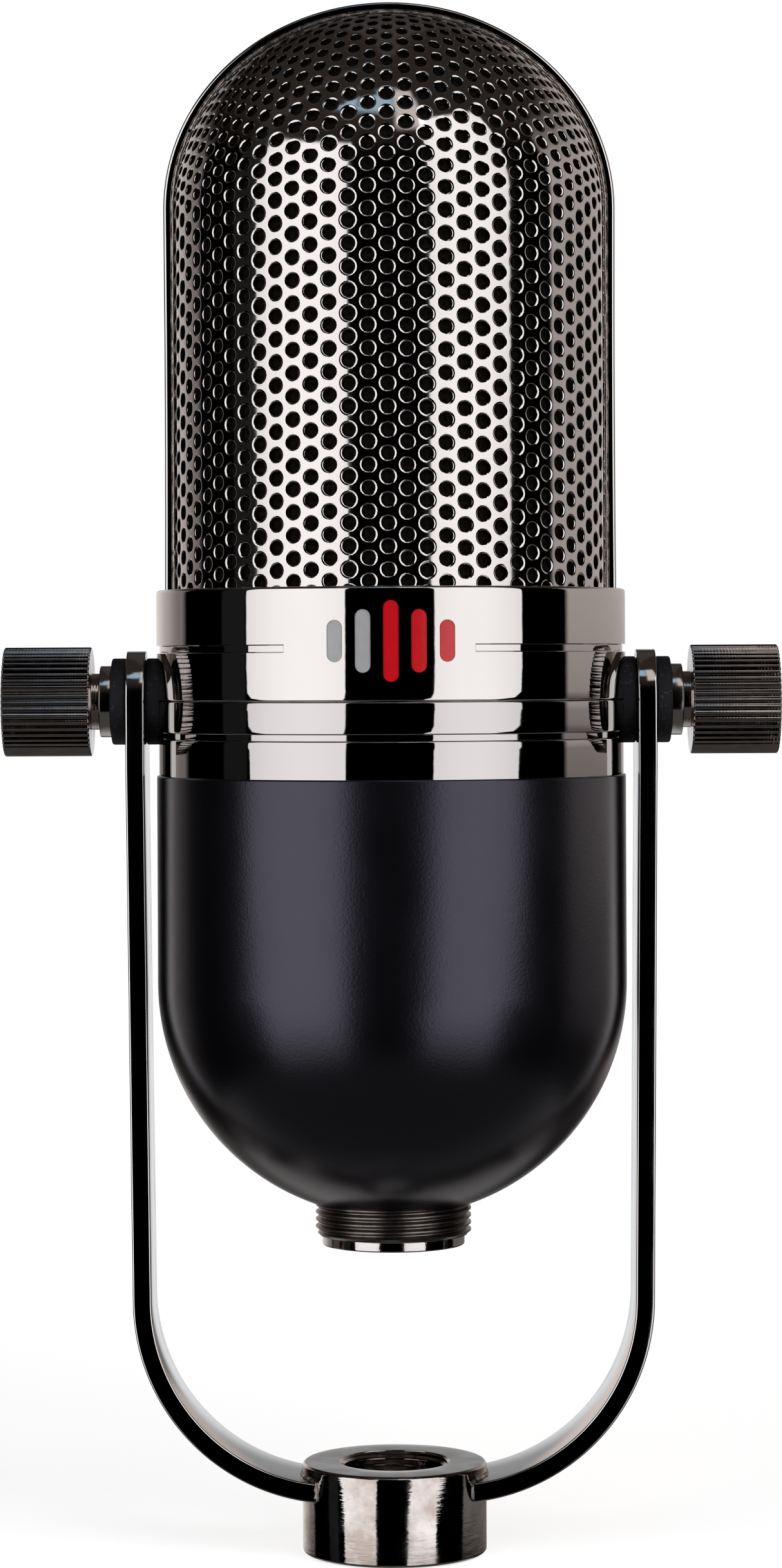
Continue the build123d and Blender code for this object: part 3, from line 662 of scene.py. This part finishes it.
def dome_point(u, v, drop=0.0):
    """Place of the flat sheet's point (u across, v up), drop below the front half's outside, and the
    outward direction there."""
    radius = grille_r - drop
    rise = grille_rise - drop
    across = u / grille_r
    if v <= dome_z:
        outwards = Vector((math.sin(across), -math.cos(across), 0))
        return outwards * radius + Vector((0, 0, v)), outwards
    up = 2 * (v - dome_z) / (grille_r + grille_rise)
    meridian = Vector((math.cos(up) * math.sin(across), -math.cos(up) * math.cos(across), math.sin(up)))
    transverse = Vector((math.sin(across), -math.cos(across) * math.cos(up), math.cos(across) * math.sin(up)))
    way = (meridian + transverse).normalized()
    outwards = Vector((way.x / radius, way.y / radius, way.z / rise)).normalized()
    return Vector((way.x * radius, way.y * radius, dome_z + way.z * rise)), outwards


class Sheet:
    """Faces of the perforated sheet with a direction for the shading at each corner of each face."""

    def __init__(self):
        self.vertices = []
        self.faces = []
        self.directions = []
        self.shared = {}

    def point(self, u, v, drop):
        spot, outwards = dome_point(u, v, drop)
        self.vertices.append(spot)
        return len(self.vertices) - 1, outwards

    def shared_point(self, u, v, drop):
        """Point that neighbouring cells use together."""
        same = 0.02 * MM
        key = (round(u / same), round(v / same), drop > 0)
        if key not in self.shared:
            self.shared[key] = self.point(u, v, drop)
        return self.shared[key]

    def face(self, *corners):
        self.faces.append(tuple(index for index, _ in corners))
        self.directions += [direction for _, direction in corners]

    def band(self, upper, lower):
        """Closed strip between two rings of the same number of points."""
        for index in range(len(upper)):
            after = (index + 1) % len(upper)
            self.face(lower[index], upper[index], upper[after], lower[after])

    def flat(self, border, ring, flipped):
        """Flat of a cell, from its six border points to the ring round its hole."""
        count = len(ring)
        nearest = [round((index + 0.5) * 6 / count) % 6 for index in range(count)]
        for index in range(count):
            after = (index + 1) % count
            triangles = [(ring[index], border[nearest[index]], ring[after])]
            if nearest[after] != nearest[index]:
                triangles.append((ring[after], border[nearest[index]], border[nearest[after]]))
            for triangle in triangles:
                self.face(*(triangle[::-1] if flipped else triangle))

    def close(self):
        """Wall round the sheet's own edge, where no other cell follows."""
        front = {}
        for key, (index, _) in self.shared.items():
            front[index] = self.shared[(key[0], key[1], True)][0] if not key[2] else None
        edges = set()
        for face in self.faces:
            for index, start in enumerate(face):
                end = face[(index + 1) % len(face)]
                if front.get(start) is not None and front.get(end) is not None:
                    edges.add((start, end))
        for start, end in sorted(edges):
            if (end, start) in edges:
                continue
            corners = (end, start, front[start], front[end])
            spots = [self.vertices[index] for index in corners]
            way = (spots[1] - spots[0]).cross(spots[3] - spots[0]).normalized()
            self.face(*((index, way) for index in corners))

    def build(self, name, rear):
        turn = Vector((-1, -1, 1)) if rear else Vector((1, 1, 1))
        mesh = bpy.data.meshes.new(name)
        mesh.from_pydata([tuple(vertex * turn) for vertex in self.vertices], [], self.faces)
        mesh.shade_smooth()
        mesh.normals_split_custom_set([tuple(direction * turn) for direction in self.directions])
        return linked(name, mesh)


def grille_hole(sheet, u, v, size):
    """One cell of the sheet: flat border, sunken rim, bore and back."""

    def bent(x, y):
        return (u + x, v + y + row_tilt * (u + x) + row_bow * (u + x) ** 2)

    def ring(radius, drop, tilt):
        points = []
        middle, _ = dome_point(*bent(0, 0), drop)
        for step in range(hole_points):
            angle = FULL * step / hole_points
            index, outwards = sheet.point(*bent(radius * math.cos(angle), radius * math.sin(angle)), drop)
            away = sheet.vertices[index] - middle
            away = (away - outwards * away.dot(outwards)).normalized()
            points.append((index, outwards * math.cos(tilt) - away * math.sin(tilt)))
        return points

    border = [sheet.shared_point(*bent(x, y), 0.0) for x, y in CELL_CORNERS]
    rings = []
    for share in rim_shares:
        tilt = math.atan(2 * rim_depth / rim_width * share)
        rings.append(ring(size * hole_r + rim_width * (1 - share), rim_depth * share**2, tilt))
    sheet.flat(border, rings[0], False)
    for upper_ring, lower_ring in zip(rings, rings[1:]):
        sheet.band(upper_ring, lower_ring)
    bottom = ring(size * hole_r, sheet_thickness, math.pi / 2)
    sheet.band([(top[0], under[1]) for top, under in zip(rings[-1], bottom)], bottom)
    back_border = []
    for x, y in CELL_CORNERS:
        index, outwards = sheet.shared_point(*bent(x, y), sheet_thickness)
        back_border.append((index, -outwards))
    back_ring = [(index, -dome_point(*bent(0, 0))[1]) for index, _ in bottom]
    sheet.flat(back_border, back_ring, True)


def grille_half(name, rear):
    """Half of the grille, with its holes in staggered columns. Each cell brings its bit of the sheet."""
    reach_u = grille_r * math.pi / 2
    reach_v = dome_z + math.pi / 4 * (grille_r + grille_rise)
    edge_share = 0.3  # of a step, kept free at the sheet's ends
    columns = int(reach_u / column_step) + 2
    rows_below = 6
    rows_above = int((reach_v - row_shift) / row_step) + 4
    draws = random.Random(7)
    sheet = Sheet()
    for column in range(-columns, columns + 1):
        for row in range(-rows_below, rows_above):
            u = column_shift + column * column_step
            v = row_shift + row * row_step + (row_step / 2 if column % 2 else 0)
            if abs(u) > reach_u - edge_share * column_step or v > reach_v - edge_share * row_step:
                continue
            v_seen = v + row_tilt * u + row_bow * u * u
            if v_seen < grille_foot + foot_cover:
                continue
            if -dome_point(u, v_seen)[0].y < seam_cover:
                continue
            grille_hole(sheet, u, v, 1 + draws.uniform(-hole_spread, hole_spread))
    sheet.close()
    return sheet.build(name, rear)


for word in ("front", "rear"):
    grille = grille_half(f"grille_{word}_perforated", word == "rear")
    place(grille, "head", sheet_nickel, f"grille_{word}")


# ---------- hoop over the seam
def arch(radius, rise, foot, lean=0.0, leg_steps=24, bend_steps=72):
    """Path over the head in the XZ plane with its outward directions. lean draws the legs' middles in."""
    leg = []
    for step in range(leg_steps):
        share = step / leg_steps
        waist = lean * math.sin(math.pi * share)
        leg.append(Vector((radius - waist, 0, foot + (dome_z - foot) * share)))
    turns = [math.pi * step / bend_steps for step in range(bend_steps + 1)]
    bend = [Vector((radius * math.cos(turn), 0, dome_z + rise * math.sin(turn))) for turn in turns]
    path = leg + bend + [point * Vector((-1, 1, 1)) for point in reversed(leg)]
    outward = [Vector((math.cos(turn) / radius, 0, math.sin(turn) / rise)).normalized() for turn in turns]
    return path, [ALONG_X] * leg_steps + outward + [-ALONG_X] * leg_steps


hoop_foot = low("grille_hoop").z
half = (hoop_r - grille_r - fit_gap) / 2
path, outward = arch(hoop_r - half, hoop_rise - half, hoop_foot, lean=0.1 * MM)
crown = 0.12 * MM  # rise of the band's middle over its edges
hoop_section = rounded(
    (
        (-half, -hoop_half, 0.2 * MM),
        (half - crown, -hoop_half, 0.45 * MM),
        (half, 0, 12 * MM),
        (half - crown, hoop_half, 0.45 * MM),
        (-half, hoop_half, 0.2 * MM),
    )
)
frames = [(direction, ALONG_Y) for direction in outward]
hoop = sweep("grille_hoop_band", path, frames, hoop_section)
place(hoop, "head", polished, "grille_hoop")

bead_draws = random.Random(11)
bead_sink = 0.25 * MM
bead_foot = collar_top - 2 * MM
for word, way in (("front", -1), ("rear", 1)):
    path, _ = arch(grille_r - bead_sink, grille_rise - bead_sink, bead_foot, leg_steps=70, bend_steps=150)
    path = [point + ALONG_Y * way * (hoop_half + fit_gap) for point in path]
    sizes = [(0.30 + bead_draws.uniform(-0.1, 0.16)) * MM for _ in path]
    place(bead(f"seam_solder_{word}", path, sizes), "head", seam_solder)


# ---------- bowl and connector
bowl_wall = 2.0 * MM
throat_r = sleeve_r + fit_gap
bowl_centre = low("body_bowl").z + math.sqrt(bowl_r**2 - throat_r**2)
outer_end = math.degrees(math.acos(throat_r / bowl_r))
floor_z = low("connector_nut").z
inner_r = bowl_r - bowl_wall
inner_end = math.degrees(math.asin((bowl_centre - floor_z) / inner_r))
bowl_round = 0.35 * MM
bowl_outline = [Vector((inner_r, bowl_centre)), Vector((inner_r, bowl_top))]
bowl_outline += arc((bowl_r - bowl_round, bowl_top - bowl_round), bowl_round, 90, 0, 5)
bowl_outline += arc((0, bowl_centre), bowl_r, 0, -outer_end, 48)
bowl_outline += [Vector((throat_r, floor_z))]
bowl_outline += arc((0, bowl_centre), inner_r, -inner_end, 0, 32)[:-1]
bowl = lathe("body_bowl_coated", bowl_outline, steps=256)
place(bowl, "head", coat, "body_bowl", slot="black_coat")


THREAD_PROFILE = ((0.0, 0.0), (0.12, 0.0), (0.46, 1.0), (0.66, 1.0))  # share of the pitch, height


def helix_run(angle, crest, depth, pitch, bottom, top, run_out, hand=1):
    """Outline of a thread from bottom to top at one angle, its corners on the helix. depth is negative
    in a bore, and the crest falls away to the root over run_out at both ends."""
    points = []
    for turn in range(-1, math.ceil((top - bottom) / pitch) + 2):
        for share, level in THREAD_PROFILE:
            height = bottom + (turn + share + hand * angle / FULL) * pitch
            held = max(bottom, min(top, height))
            rise = level * max(0.0, min(1.0, (held - bottom) / run_out, (top - held) / run_out))
            points.append(Vector((crest - depth * (1 - rise), held)))
    return points


sleeve_pitch = 1.07 * MM
sleeve_top = high("connector_sleeve").z
lip_r = 10.64 * MM
sleeve_bore = 8.05 * MM
thread_depth = 0.5 * MM
thread_top = 54 * MM  # inside the bowl
run_out = 0.4 * MM  # at the ends of the sleeve's and the boss's threads


def sleeve_outline(angle):
    lip = rounded(
        (
            (sleeve_bore, sleeve_bottom, 0.5 * MM),
            (lip_r, sleeve_bottom, 0.25 * MM),
            (lip_r, lip_top, 0.1 * MM),
            (sleeve_r - thread_depth - fit_gap, lip_top, 0),
        )
    )
    start = lip_top + 0.1 * MM
    run = helix_run(angle, sleeve_r, thread_depth, sleeve_pitch, start, thread_top, run_out)
    return lip + run + [Vector((sleeve_r, sleeve_top)), Vector((sleeve_bore, sleeve_top))]


sleeve = lathe("connector_sleeve_threaded", sleeve_outline, steps=144)
place(sleeve, "head", thread_nickel, "connector_sleeve", slot="dark_nickel_thread")


# ---------- yoke
strap_half = (arm_outer - arm_inner - fit_gap) / 2
bend_x = 8.5 * MM
bend_z = 38.3 * MM
bend_r = 30.1 * MM - strap_half
lean_z = pivot_z - 9 * MM  # below this the legs lean outwards a little
leg_foot_x = bend_x + bend_r
strap_end_x = 11.0 * MM  # inside the boss


def strap(side, word):
    """Flat strap with a round top end, rounded edges and a quarter bend into the boss."""
    path = []
    frames = []
    widths = []

    def add(x, z, outward=ALONG_X, width=1.0):
        path.append(Vector((side * x, 0, z)))
        frames.append((Vector((side * outward.x, 0, outward.z)), ALONG_Y))
        widths.append(width)

    upright_x = arm_outer - strap_half
    end_steps = 18
    for step in range(end_steps):
        angle = math.pi / 2 * (1 - step / end_steps)
        add(upright_x, pivot_z + (arm_top - pivot_z) * math.sin(angle), width=max(0.02, math.cos(angle)))
    for height in (pivot_z, lean_z + 1 * MM, lean_z - 1 * MM):
        add(upright_x, height)
    leg_steps = 30
    for step in range(1, leg_steps + 1):
        share = step / leg_steps
        add(upright_x + (leg_foot_x - upright_x) * share, lean_z + (bend_z - lean_z) * share)
    bend_steps = 48
    last = math.acos((strap_end_x - bend_x) / bend_r)
    for step in range(1, bend_steps + 1):
        angle = last * step / bend_steps
        outward = Vector((math.cos(angle), 0, -math.sin(angle)))
        add(bend_x + bend_r * outward.x, bend_z + bend_r * outward.z, outward)
    corner = 0.28 * MM
    belly = 0.06 * MM  # the narrow edges' middles stand out by this
    edge = belly - arm_half
    front = ((-strap_half, edge, corner), (0, -arm_half, 10 * MM), (strap_half, edge, corner))
    section = rounded(front + tuple((-x, -y, bend) for x, y, bend in front))
    return sweep(f"yoke_strap_{word}", path, frames, lambda ring: [(a, b * widths[ring]) for a, b in section])


def braze(side, word):
    """Bead of filler round the strap where it enters the boss."""
    beads = random.Random(3 + side)
    middle_z = bend_z - math.sqrt(bend_r**2 - (boss_r - bend_x) ** 2)
    outline = rounded_box(-arm_half, arm_half, -strap_half, strap_half, [0.5 * MM] * 4, steps=4)
    path = []
    for index, start in enumerate(outline):
        after = outline[(index + 1) % len(outline)]
        parts = max(1, round((after - start).length / (0.6 * MM)))
        for part in range(parts):
            y, z = start + (after - start) * part / parts
            x = math.sqrt(max(0.0, (boss_r - fit_gap) ** 2 - y**2))
            path.append(Vector((side * x, y, middle_z + z)))
    sizes = [beads.uniform(0.22, 0.5) * MM for _ in path]
    return bead(f"braze_{word}", path, sizes, closed=True)


for side, word in ((-1, "left"), (1, "right")):
    place(strap(side, word), "yoke", strap_nickel, f"yoke_arm_{word}")
    place(braze(side, word), "yoke", seam_solder)

stand_pitch = 0.94 * MM
stand_minor_r = 7.45 * MM
stand_depth = 0.49 * MM
mouth_r = 8.25 * MM
mouth_chamfer = 0.3 * MM


def boss_outline(angle):
    bends = (0.08 * MM, 0.5 * MM, 0.6 * MM, 0.1 * MM)
    outside = rounded_box(mouth_r, boss_r, 0, boss_top, bends)
    top = boss_top - mouth_chamfer
    run = helix_run(angle, stand_minor_r, -stand_depth, stand_pitch, mouth_chamfer, top, run_out)
    return outside + run[::-1]


boss = lathe("stand_boss_threaded", boss_outline, steps=144)
place(boss, "yoke", boss_nickel, "stand_boss")


# ---------- clamps and knobs
flutes = 50
knob_r = high("knob_right").z - pivot_z
knob_out = high("knob_right").x
knob_in = knob_out - 13.0 * MM
knob_neck_in = low("knob_right").x
knob_neck_r = 4.2 * MM
knob_chamfer = 0.18 * MM
face_rim = 1.6 * MM  # flat ring round the knob's slightly sunk outer face
face_sink = 0.25 * MM
flute_depth = 0.32 * MM
stud_pitch = 0.8 * MM
stud_r = high("stud_right").z - pivot_z


def knob_shape(radius, height, angle):
    """Flutes with narrow round crests, on the knob's outside only."""
    if radius < knob_r - 2 * flute_depth or height < knob_in:
        return radius
    crest = 0.5 + 0.5 * math.cos(angle * flutes)
    return radius - flute_depth * (1 - crest**1.5)


def knob(side, word):
    bend = 0.06 * MM
    outline = rounded(
        (
            (0, knob_neck_in, 0),
            (knob_neck_r, knob_neck_in, 0.1 * MM),
            (knob_neck_r, knob_in, 0.12 * MM),
            (knob_r - knob_chamfer, knob_in, bend),
            (knob_r, knob_in + knob_chamfer, bend),
            (knob_r, knob_out - knob_chamfer, bend),
            (knob_r - knob_chamfer, knob_out, bend),
            (knob_r - face_rim, knob_out, 0.1 * MM),
            (knob_r - face_rim - 0.3 * MM, knob_out - face_sink, 0.1 * MM),
            (0, knob_out - face_sink, 0),
        ),
        steps=3,
    )
    return lathe("thumb_knob_" + word, outline, flutes * 10, knob_shape, side, smooth_angle=40)


def stud_outline(angle):
    """Stud with its thread, from a chamfered end to inside the knob's neck."""
    start = low("stud_right").x
    end = knob_neck_in + 0.5 * MM
    chamfer = 0.4 * MM
    depth = 0.42 * MM
    run = helix_run(angle, stud_r, depth, stud_pitch, start + chamfer, end, 0.5 * MM, hand=-1)
    return [Vector((0, start)), Vector((stud_r - 0.5 * MM, start))] + run + [Vector((0, end))]


def washer(name, side, outer, start, end, bend):
    outline = rounded_box(bore_r, outer, start, end, (bend / 2, bend, bend, bend / 2), steps=4)
    return lathe(name, outline, steps=96, side=side)


rubber_r = high("outer_washer_right").y
thrust_r = high("thrust_washer_right").y
bore_r = stud_r + 0.1 * MM
saddle_start = collar_r - 0.8 * MM
outer_low = low("outer_washer_right").x
outer_high = high("outer_washer_right").x
thrust_high = high("thrust_washer_right").x
inner_high = high("inner_washer_right").x
for side, word in ((-1, "left"), (1, "right")):
    piece = washer("saddle_washer_" + word, side, rubber_r, saddle_start, inner_high, 0.3 * MM)
    place(piece, "head", black_rubber, "inner_washer_" + word, slot="black_rubber")
    piece = washer("rubber_washer_" + word, side, rubber_r, outer_low, outer_high, 0.35 * MM)
    place(piece, f"{word}_clamp", black_rubber, "outer_washer_" + word, slot="black_rubber")
    piece = washer("thrust_ring_" + word, side, thrust_r, outer_high, thrust_high, 0.15 * MM)
    place(piece, f"{word}_clamp", ring_nickel, "thrust_washer_" + word)
    place(knob(side, word), f"{word}_knob", knob_nickel, "knob_" + word)
    piece = lathe("threaded_stud_" + word, stud_outline, steps=72, side=side)
    place(piece, f"{word}_knob", stud_nickel, "stud_" + word, slot="zinc_steel")


# ---------- studio
class Sky(Nodes):
    """Light by direction: azimuth runs from the front towards the right, elevation up, in degrees."""

    def __init__(self, tree):
        super().__init__(tree, "Generated")
        split = self.node("SeparateXYZ", {"Vector": self.position})
        x, self.y, z = (split.outputs[axis] for axis in "XYZ")
        turn = self.math("ARCTAN2", x, self.product(self.y, -1.0))
        self.azimuth = self.product(turn, 180 / math.pi)
        self.elevation = self.product(self.math("ARCSINE", z), 180 / math.pi)
        self.under_eye = self.product(self.elevation, -1.0)

    def step_up(self, value, edge, blur):
        """0 below edge and 1 above it. value is a socket, and blur a number."""
        return self.ramp(value, edge - blur, edge + blur, kind="SMOOTHSTEP")

    def dimmed(self, value, edge, blur, loss):
        """1 below edge, and less by loss above it."""
        return self.math("SUBTRACT", 1.0, self.product(self.step_up(value, edge, blur), loss))

    def band(self, value, start, end, blur):
        return self.product(self.step_up(value, start, blur), self.dimmed(value, end, blur, 1.0))

    def total(self, first, *others):
        for other in others:
            first = self.math("ADD", first, other)
        return first

    def softbox(self, start, end, start_taper, end_taper, top, bottom, brightest):
        """Upright light between two azimuths, brightest at one between them and dimmer at its foot.
        Down to 10 degrees below eye level, its sides move by a taper per degree."""
        below_eye = self.math("MINIMUM", self.math("MAXIMUM", self.under_eye, 0.0), 10.0)
        moved_start = self.math("SUBTRACT", self.azimuth, self.product(below_eye, start_taper))
        moved_end = self.math("SUBTRACT", self.azimuth, self.product(below_eye, end_taper))
        inside = self.product(self.step_up(moved_start, start, 0.35), self.dimmed(moved_end, end, 0.35, 1.0))
        offset = self.math("DIVIDE", self.math("SUBTRACT", self.azimuth, brightest), (end - start) / 2)
        glow = self.math("SUBTRACT", 1.06, self.product(offset, offset, 0.14))
        foot = self.total(0.3, self.product(self.step_up(self.elevation, -22, 11), 0.7))
        return self.product(inside, glow, foot, self.band(self.elevation, bottom, top, 1.5))

    def vectors(self, operation, inputs):
        return self.node("VectorMath", inputs, operation=operation).outputs["Vector"]


def studio_lights(sky):
    """Each light with its colour: two tall softboxes in front, dark gaps between and beside them, a
    pale room behind, and a little light from above and from the floor."""
    product = sky.product
    total = sky.total
    step_up = sky.step_up
    dimmed = sky.dimmed
    band = sky.band
    azimuth = sky.azimuth
    elevation = sky.elevation
    right_box = sky.softbox(21, 66.4, -0.46, -1.3, 50, -33, 40)
    boxes = total(sky.softbox(-74.2, -22, 0.83, -0.14, 34, -33, -43), product(right_box, 0.97))
    away_left = product(azimuth, -1.0)
    room_left = total(
        product(step_up(away_left, 121, 3), 0.28),
        product(step_up(away_left, 135, 9), 0.3),
        product(step_up(away_left, 150, 9), 0.22),
    )
    room_left = product(room_left, dimmed(elevation, 20, 10, 1.0))
    room_right = product(step_up(azimuth, 95, 2), 0.58, dimmed(elevation, 28, 14, 1.0))
    room_right = product(room_right, dimmed(sky.under_eye, 0.8, 2.5, 0.68))
    behind = step_up(sky.math("ABSOLUTE", azimuth), 169, 3)
    near_floor = dimmed(sky.under_eye, 15, 4, 0.85)
    room = product(total(room_left, room_right), sky.math("SUBTRACT", 1.0, behind), near_floor)
    above_eye = product(dimmed(elevation, 3, 6, 0.53), dimmed(elevation, 22, 8, 0.92))
    backdrop = product(behind, 0.85, above_eye, near_floor)
    uneven = step_up(sky.noise(5.0, 2.0, 0.5), 0.47, 0.06)
    overhead = product(band(azimuth, -48, 4, 4), band(elevation, 55, 70, 3), uneven)
    overhead_warm = product(band(azimuth, 5, 24, 3), band(elevation, 44, 71, 3))
    above_floor = step_up(elevation, -33, 1.5)
    floor_glow = total(0.42, product(step_up(sky.y, 0.4, 0.3), 1.7))
    floor_glow = product(sky.math("SUBTRACT", 1.0, above_floor), floor_glow)
    return (
        (boxes, (1.73, 1.71, 1.72)),
        (room, (1.09, 0.98, 0.93)),
        (backdrop, (0.98, 1.0, 1.02)),
        (overhead, (0.50, 0.74, 0.96)),
        (overhead_warm, (0.92, 0.85, 0.82)),
        (step_up(elevation, 36, 14), (0.043, 0.034, 0.029)),
        (floor_glow, (0.22, 0.21, 0.20)),
        (product(band(azimuth, -90, -75, 1), above_floor), (0.018, 0.018, 0.019)),
    )


def studio_world():
    """World with the studio's lights. The camera itself sees plain white."""
    world = bpy.data.worlds.new("studio")
    scene.world = world
    world.use_nodes = True
    world.node_tree.nodes.clear()
    sky = Sky(world.node_tree)
    light = None
    for value, color in studio_lights(sky):
        part = sky.vectors("SCALE", {0: color, "Scale": value})
        light = sky.vectors("ADD", {0: light, 1: part}) if light else part
    studio = sky.node("Background", {"Color": light})
    seen = sky.node("Background", {"Color": (1, 1, 1, 1)})
    to_camera = sky.node("LightPath").outputs["Is Camera Ray"]
    inputs = {"Fac": to_camera, 1: studio.outputs["Background"], 2: seen.outputs["Background"]}
    choose = sky.node("MixShader", inputs)
    sky.node("OutputWorld", {"Surface": choose.outputs["Shader"]})


def pale_floor():
    """Plain pale floor under the boss, kept out of the plating's reflections."""
    reach = 3.0
    corners = [(-reach, -reach), (reach, -reach), (reach, reach), (-reach, reach)]
    mesh = bpy.data.meshes.new("floor")
    mesh.from_pydata([(x, y, -0.2 * MM) for x, y in corners], [], [(0, 1, 2, 3)])
    floor = linked("floor", mesh)
    shader = Shader("pale_floor", (0.9, 0.9, 0.9), 0.0, 0.8, 0.1)
    shader.fill(shader.principled, {"Emission Color": (1, 1, 1, 1), "Emission Strength": 0.75})
    floor.data.materials.append(shader.material)
    floor.visible_glossy = False
    floor.visible_diffuse = False


def camera():
    """Level camera at the collar's height, rolled a little and shifted down to take in the whole."""
    distance = 632 * MM
    eye_z = 132 * MM
    field_height = 234.4 * MM
    field_middle = 114.4 * MM
    roll_deg = 0.26
    data = bpy.data.cameras.new("camera")
    data.sensor_width = 36
    data.lens = data.sensor_width * distance / field_height
    data.shift_y = (field_middle - eye_z) / field_height
    data.clip_start = 0.01
    eye = linked("camera", data)
    eye.location = (0, -distance, eye_z)
    eye.rotation_euler = (math.radians(90), math.radians(roll_deg), 0)
    scene.camera = eye


studio_world()
pale_floor()
camera()
scene.view_settings.view_transform = "Standard"
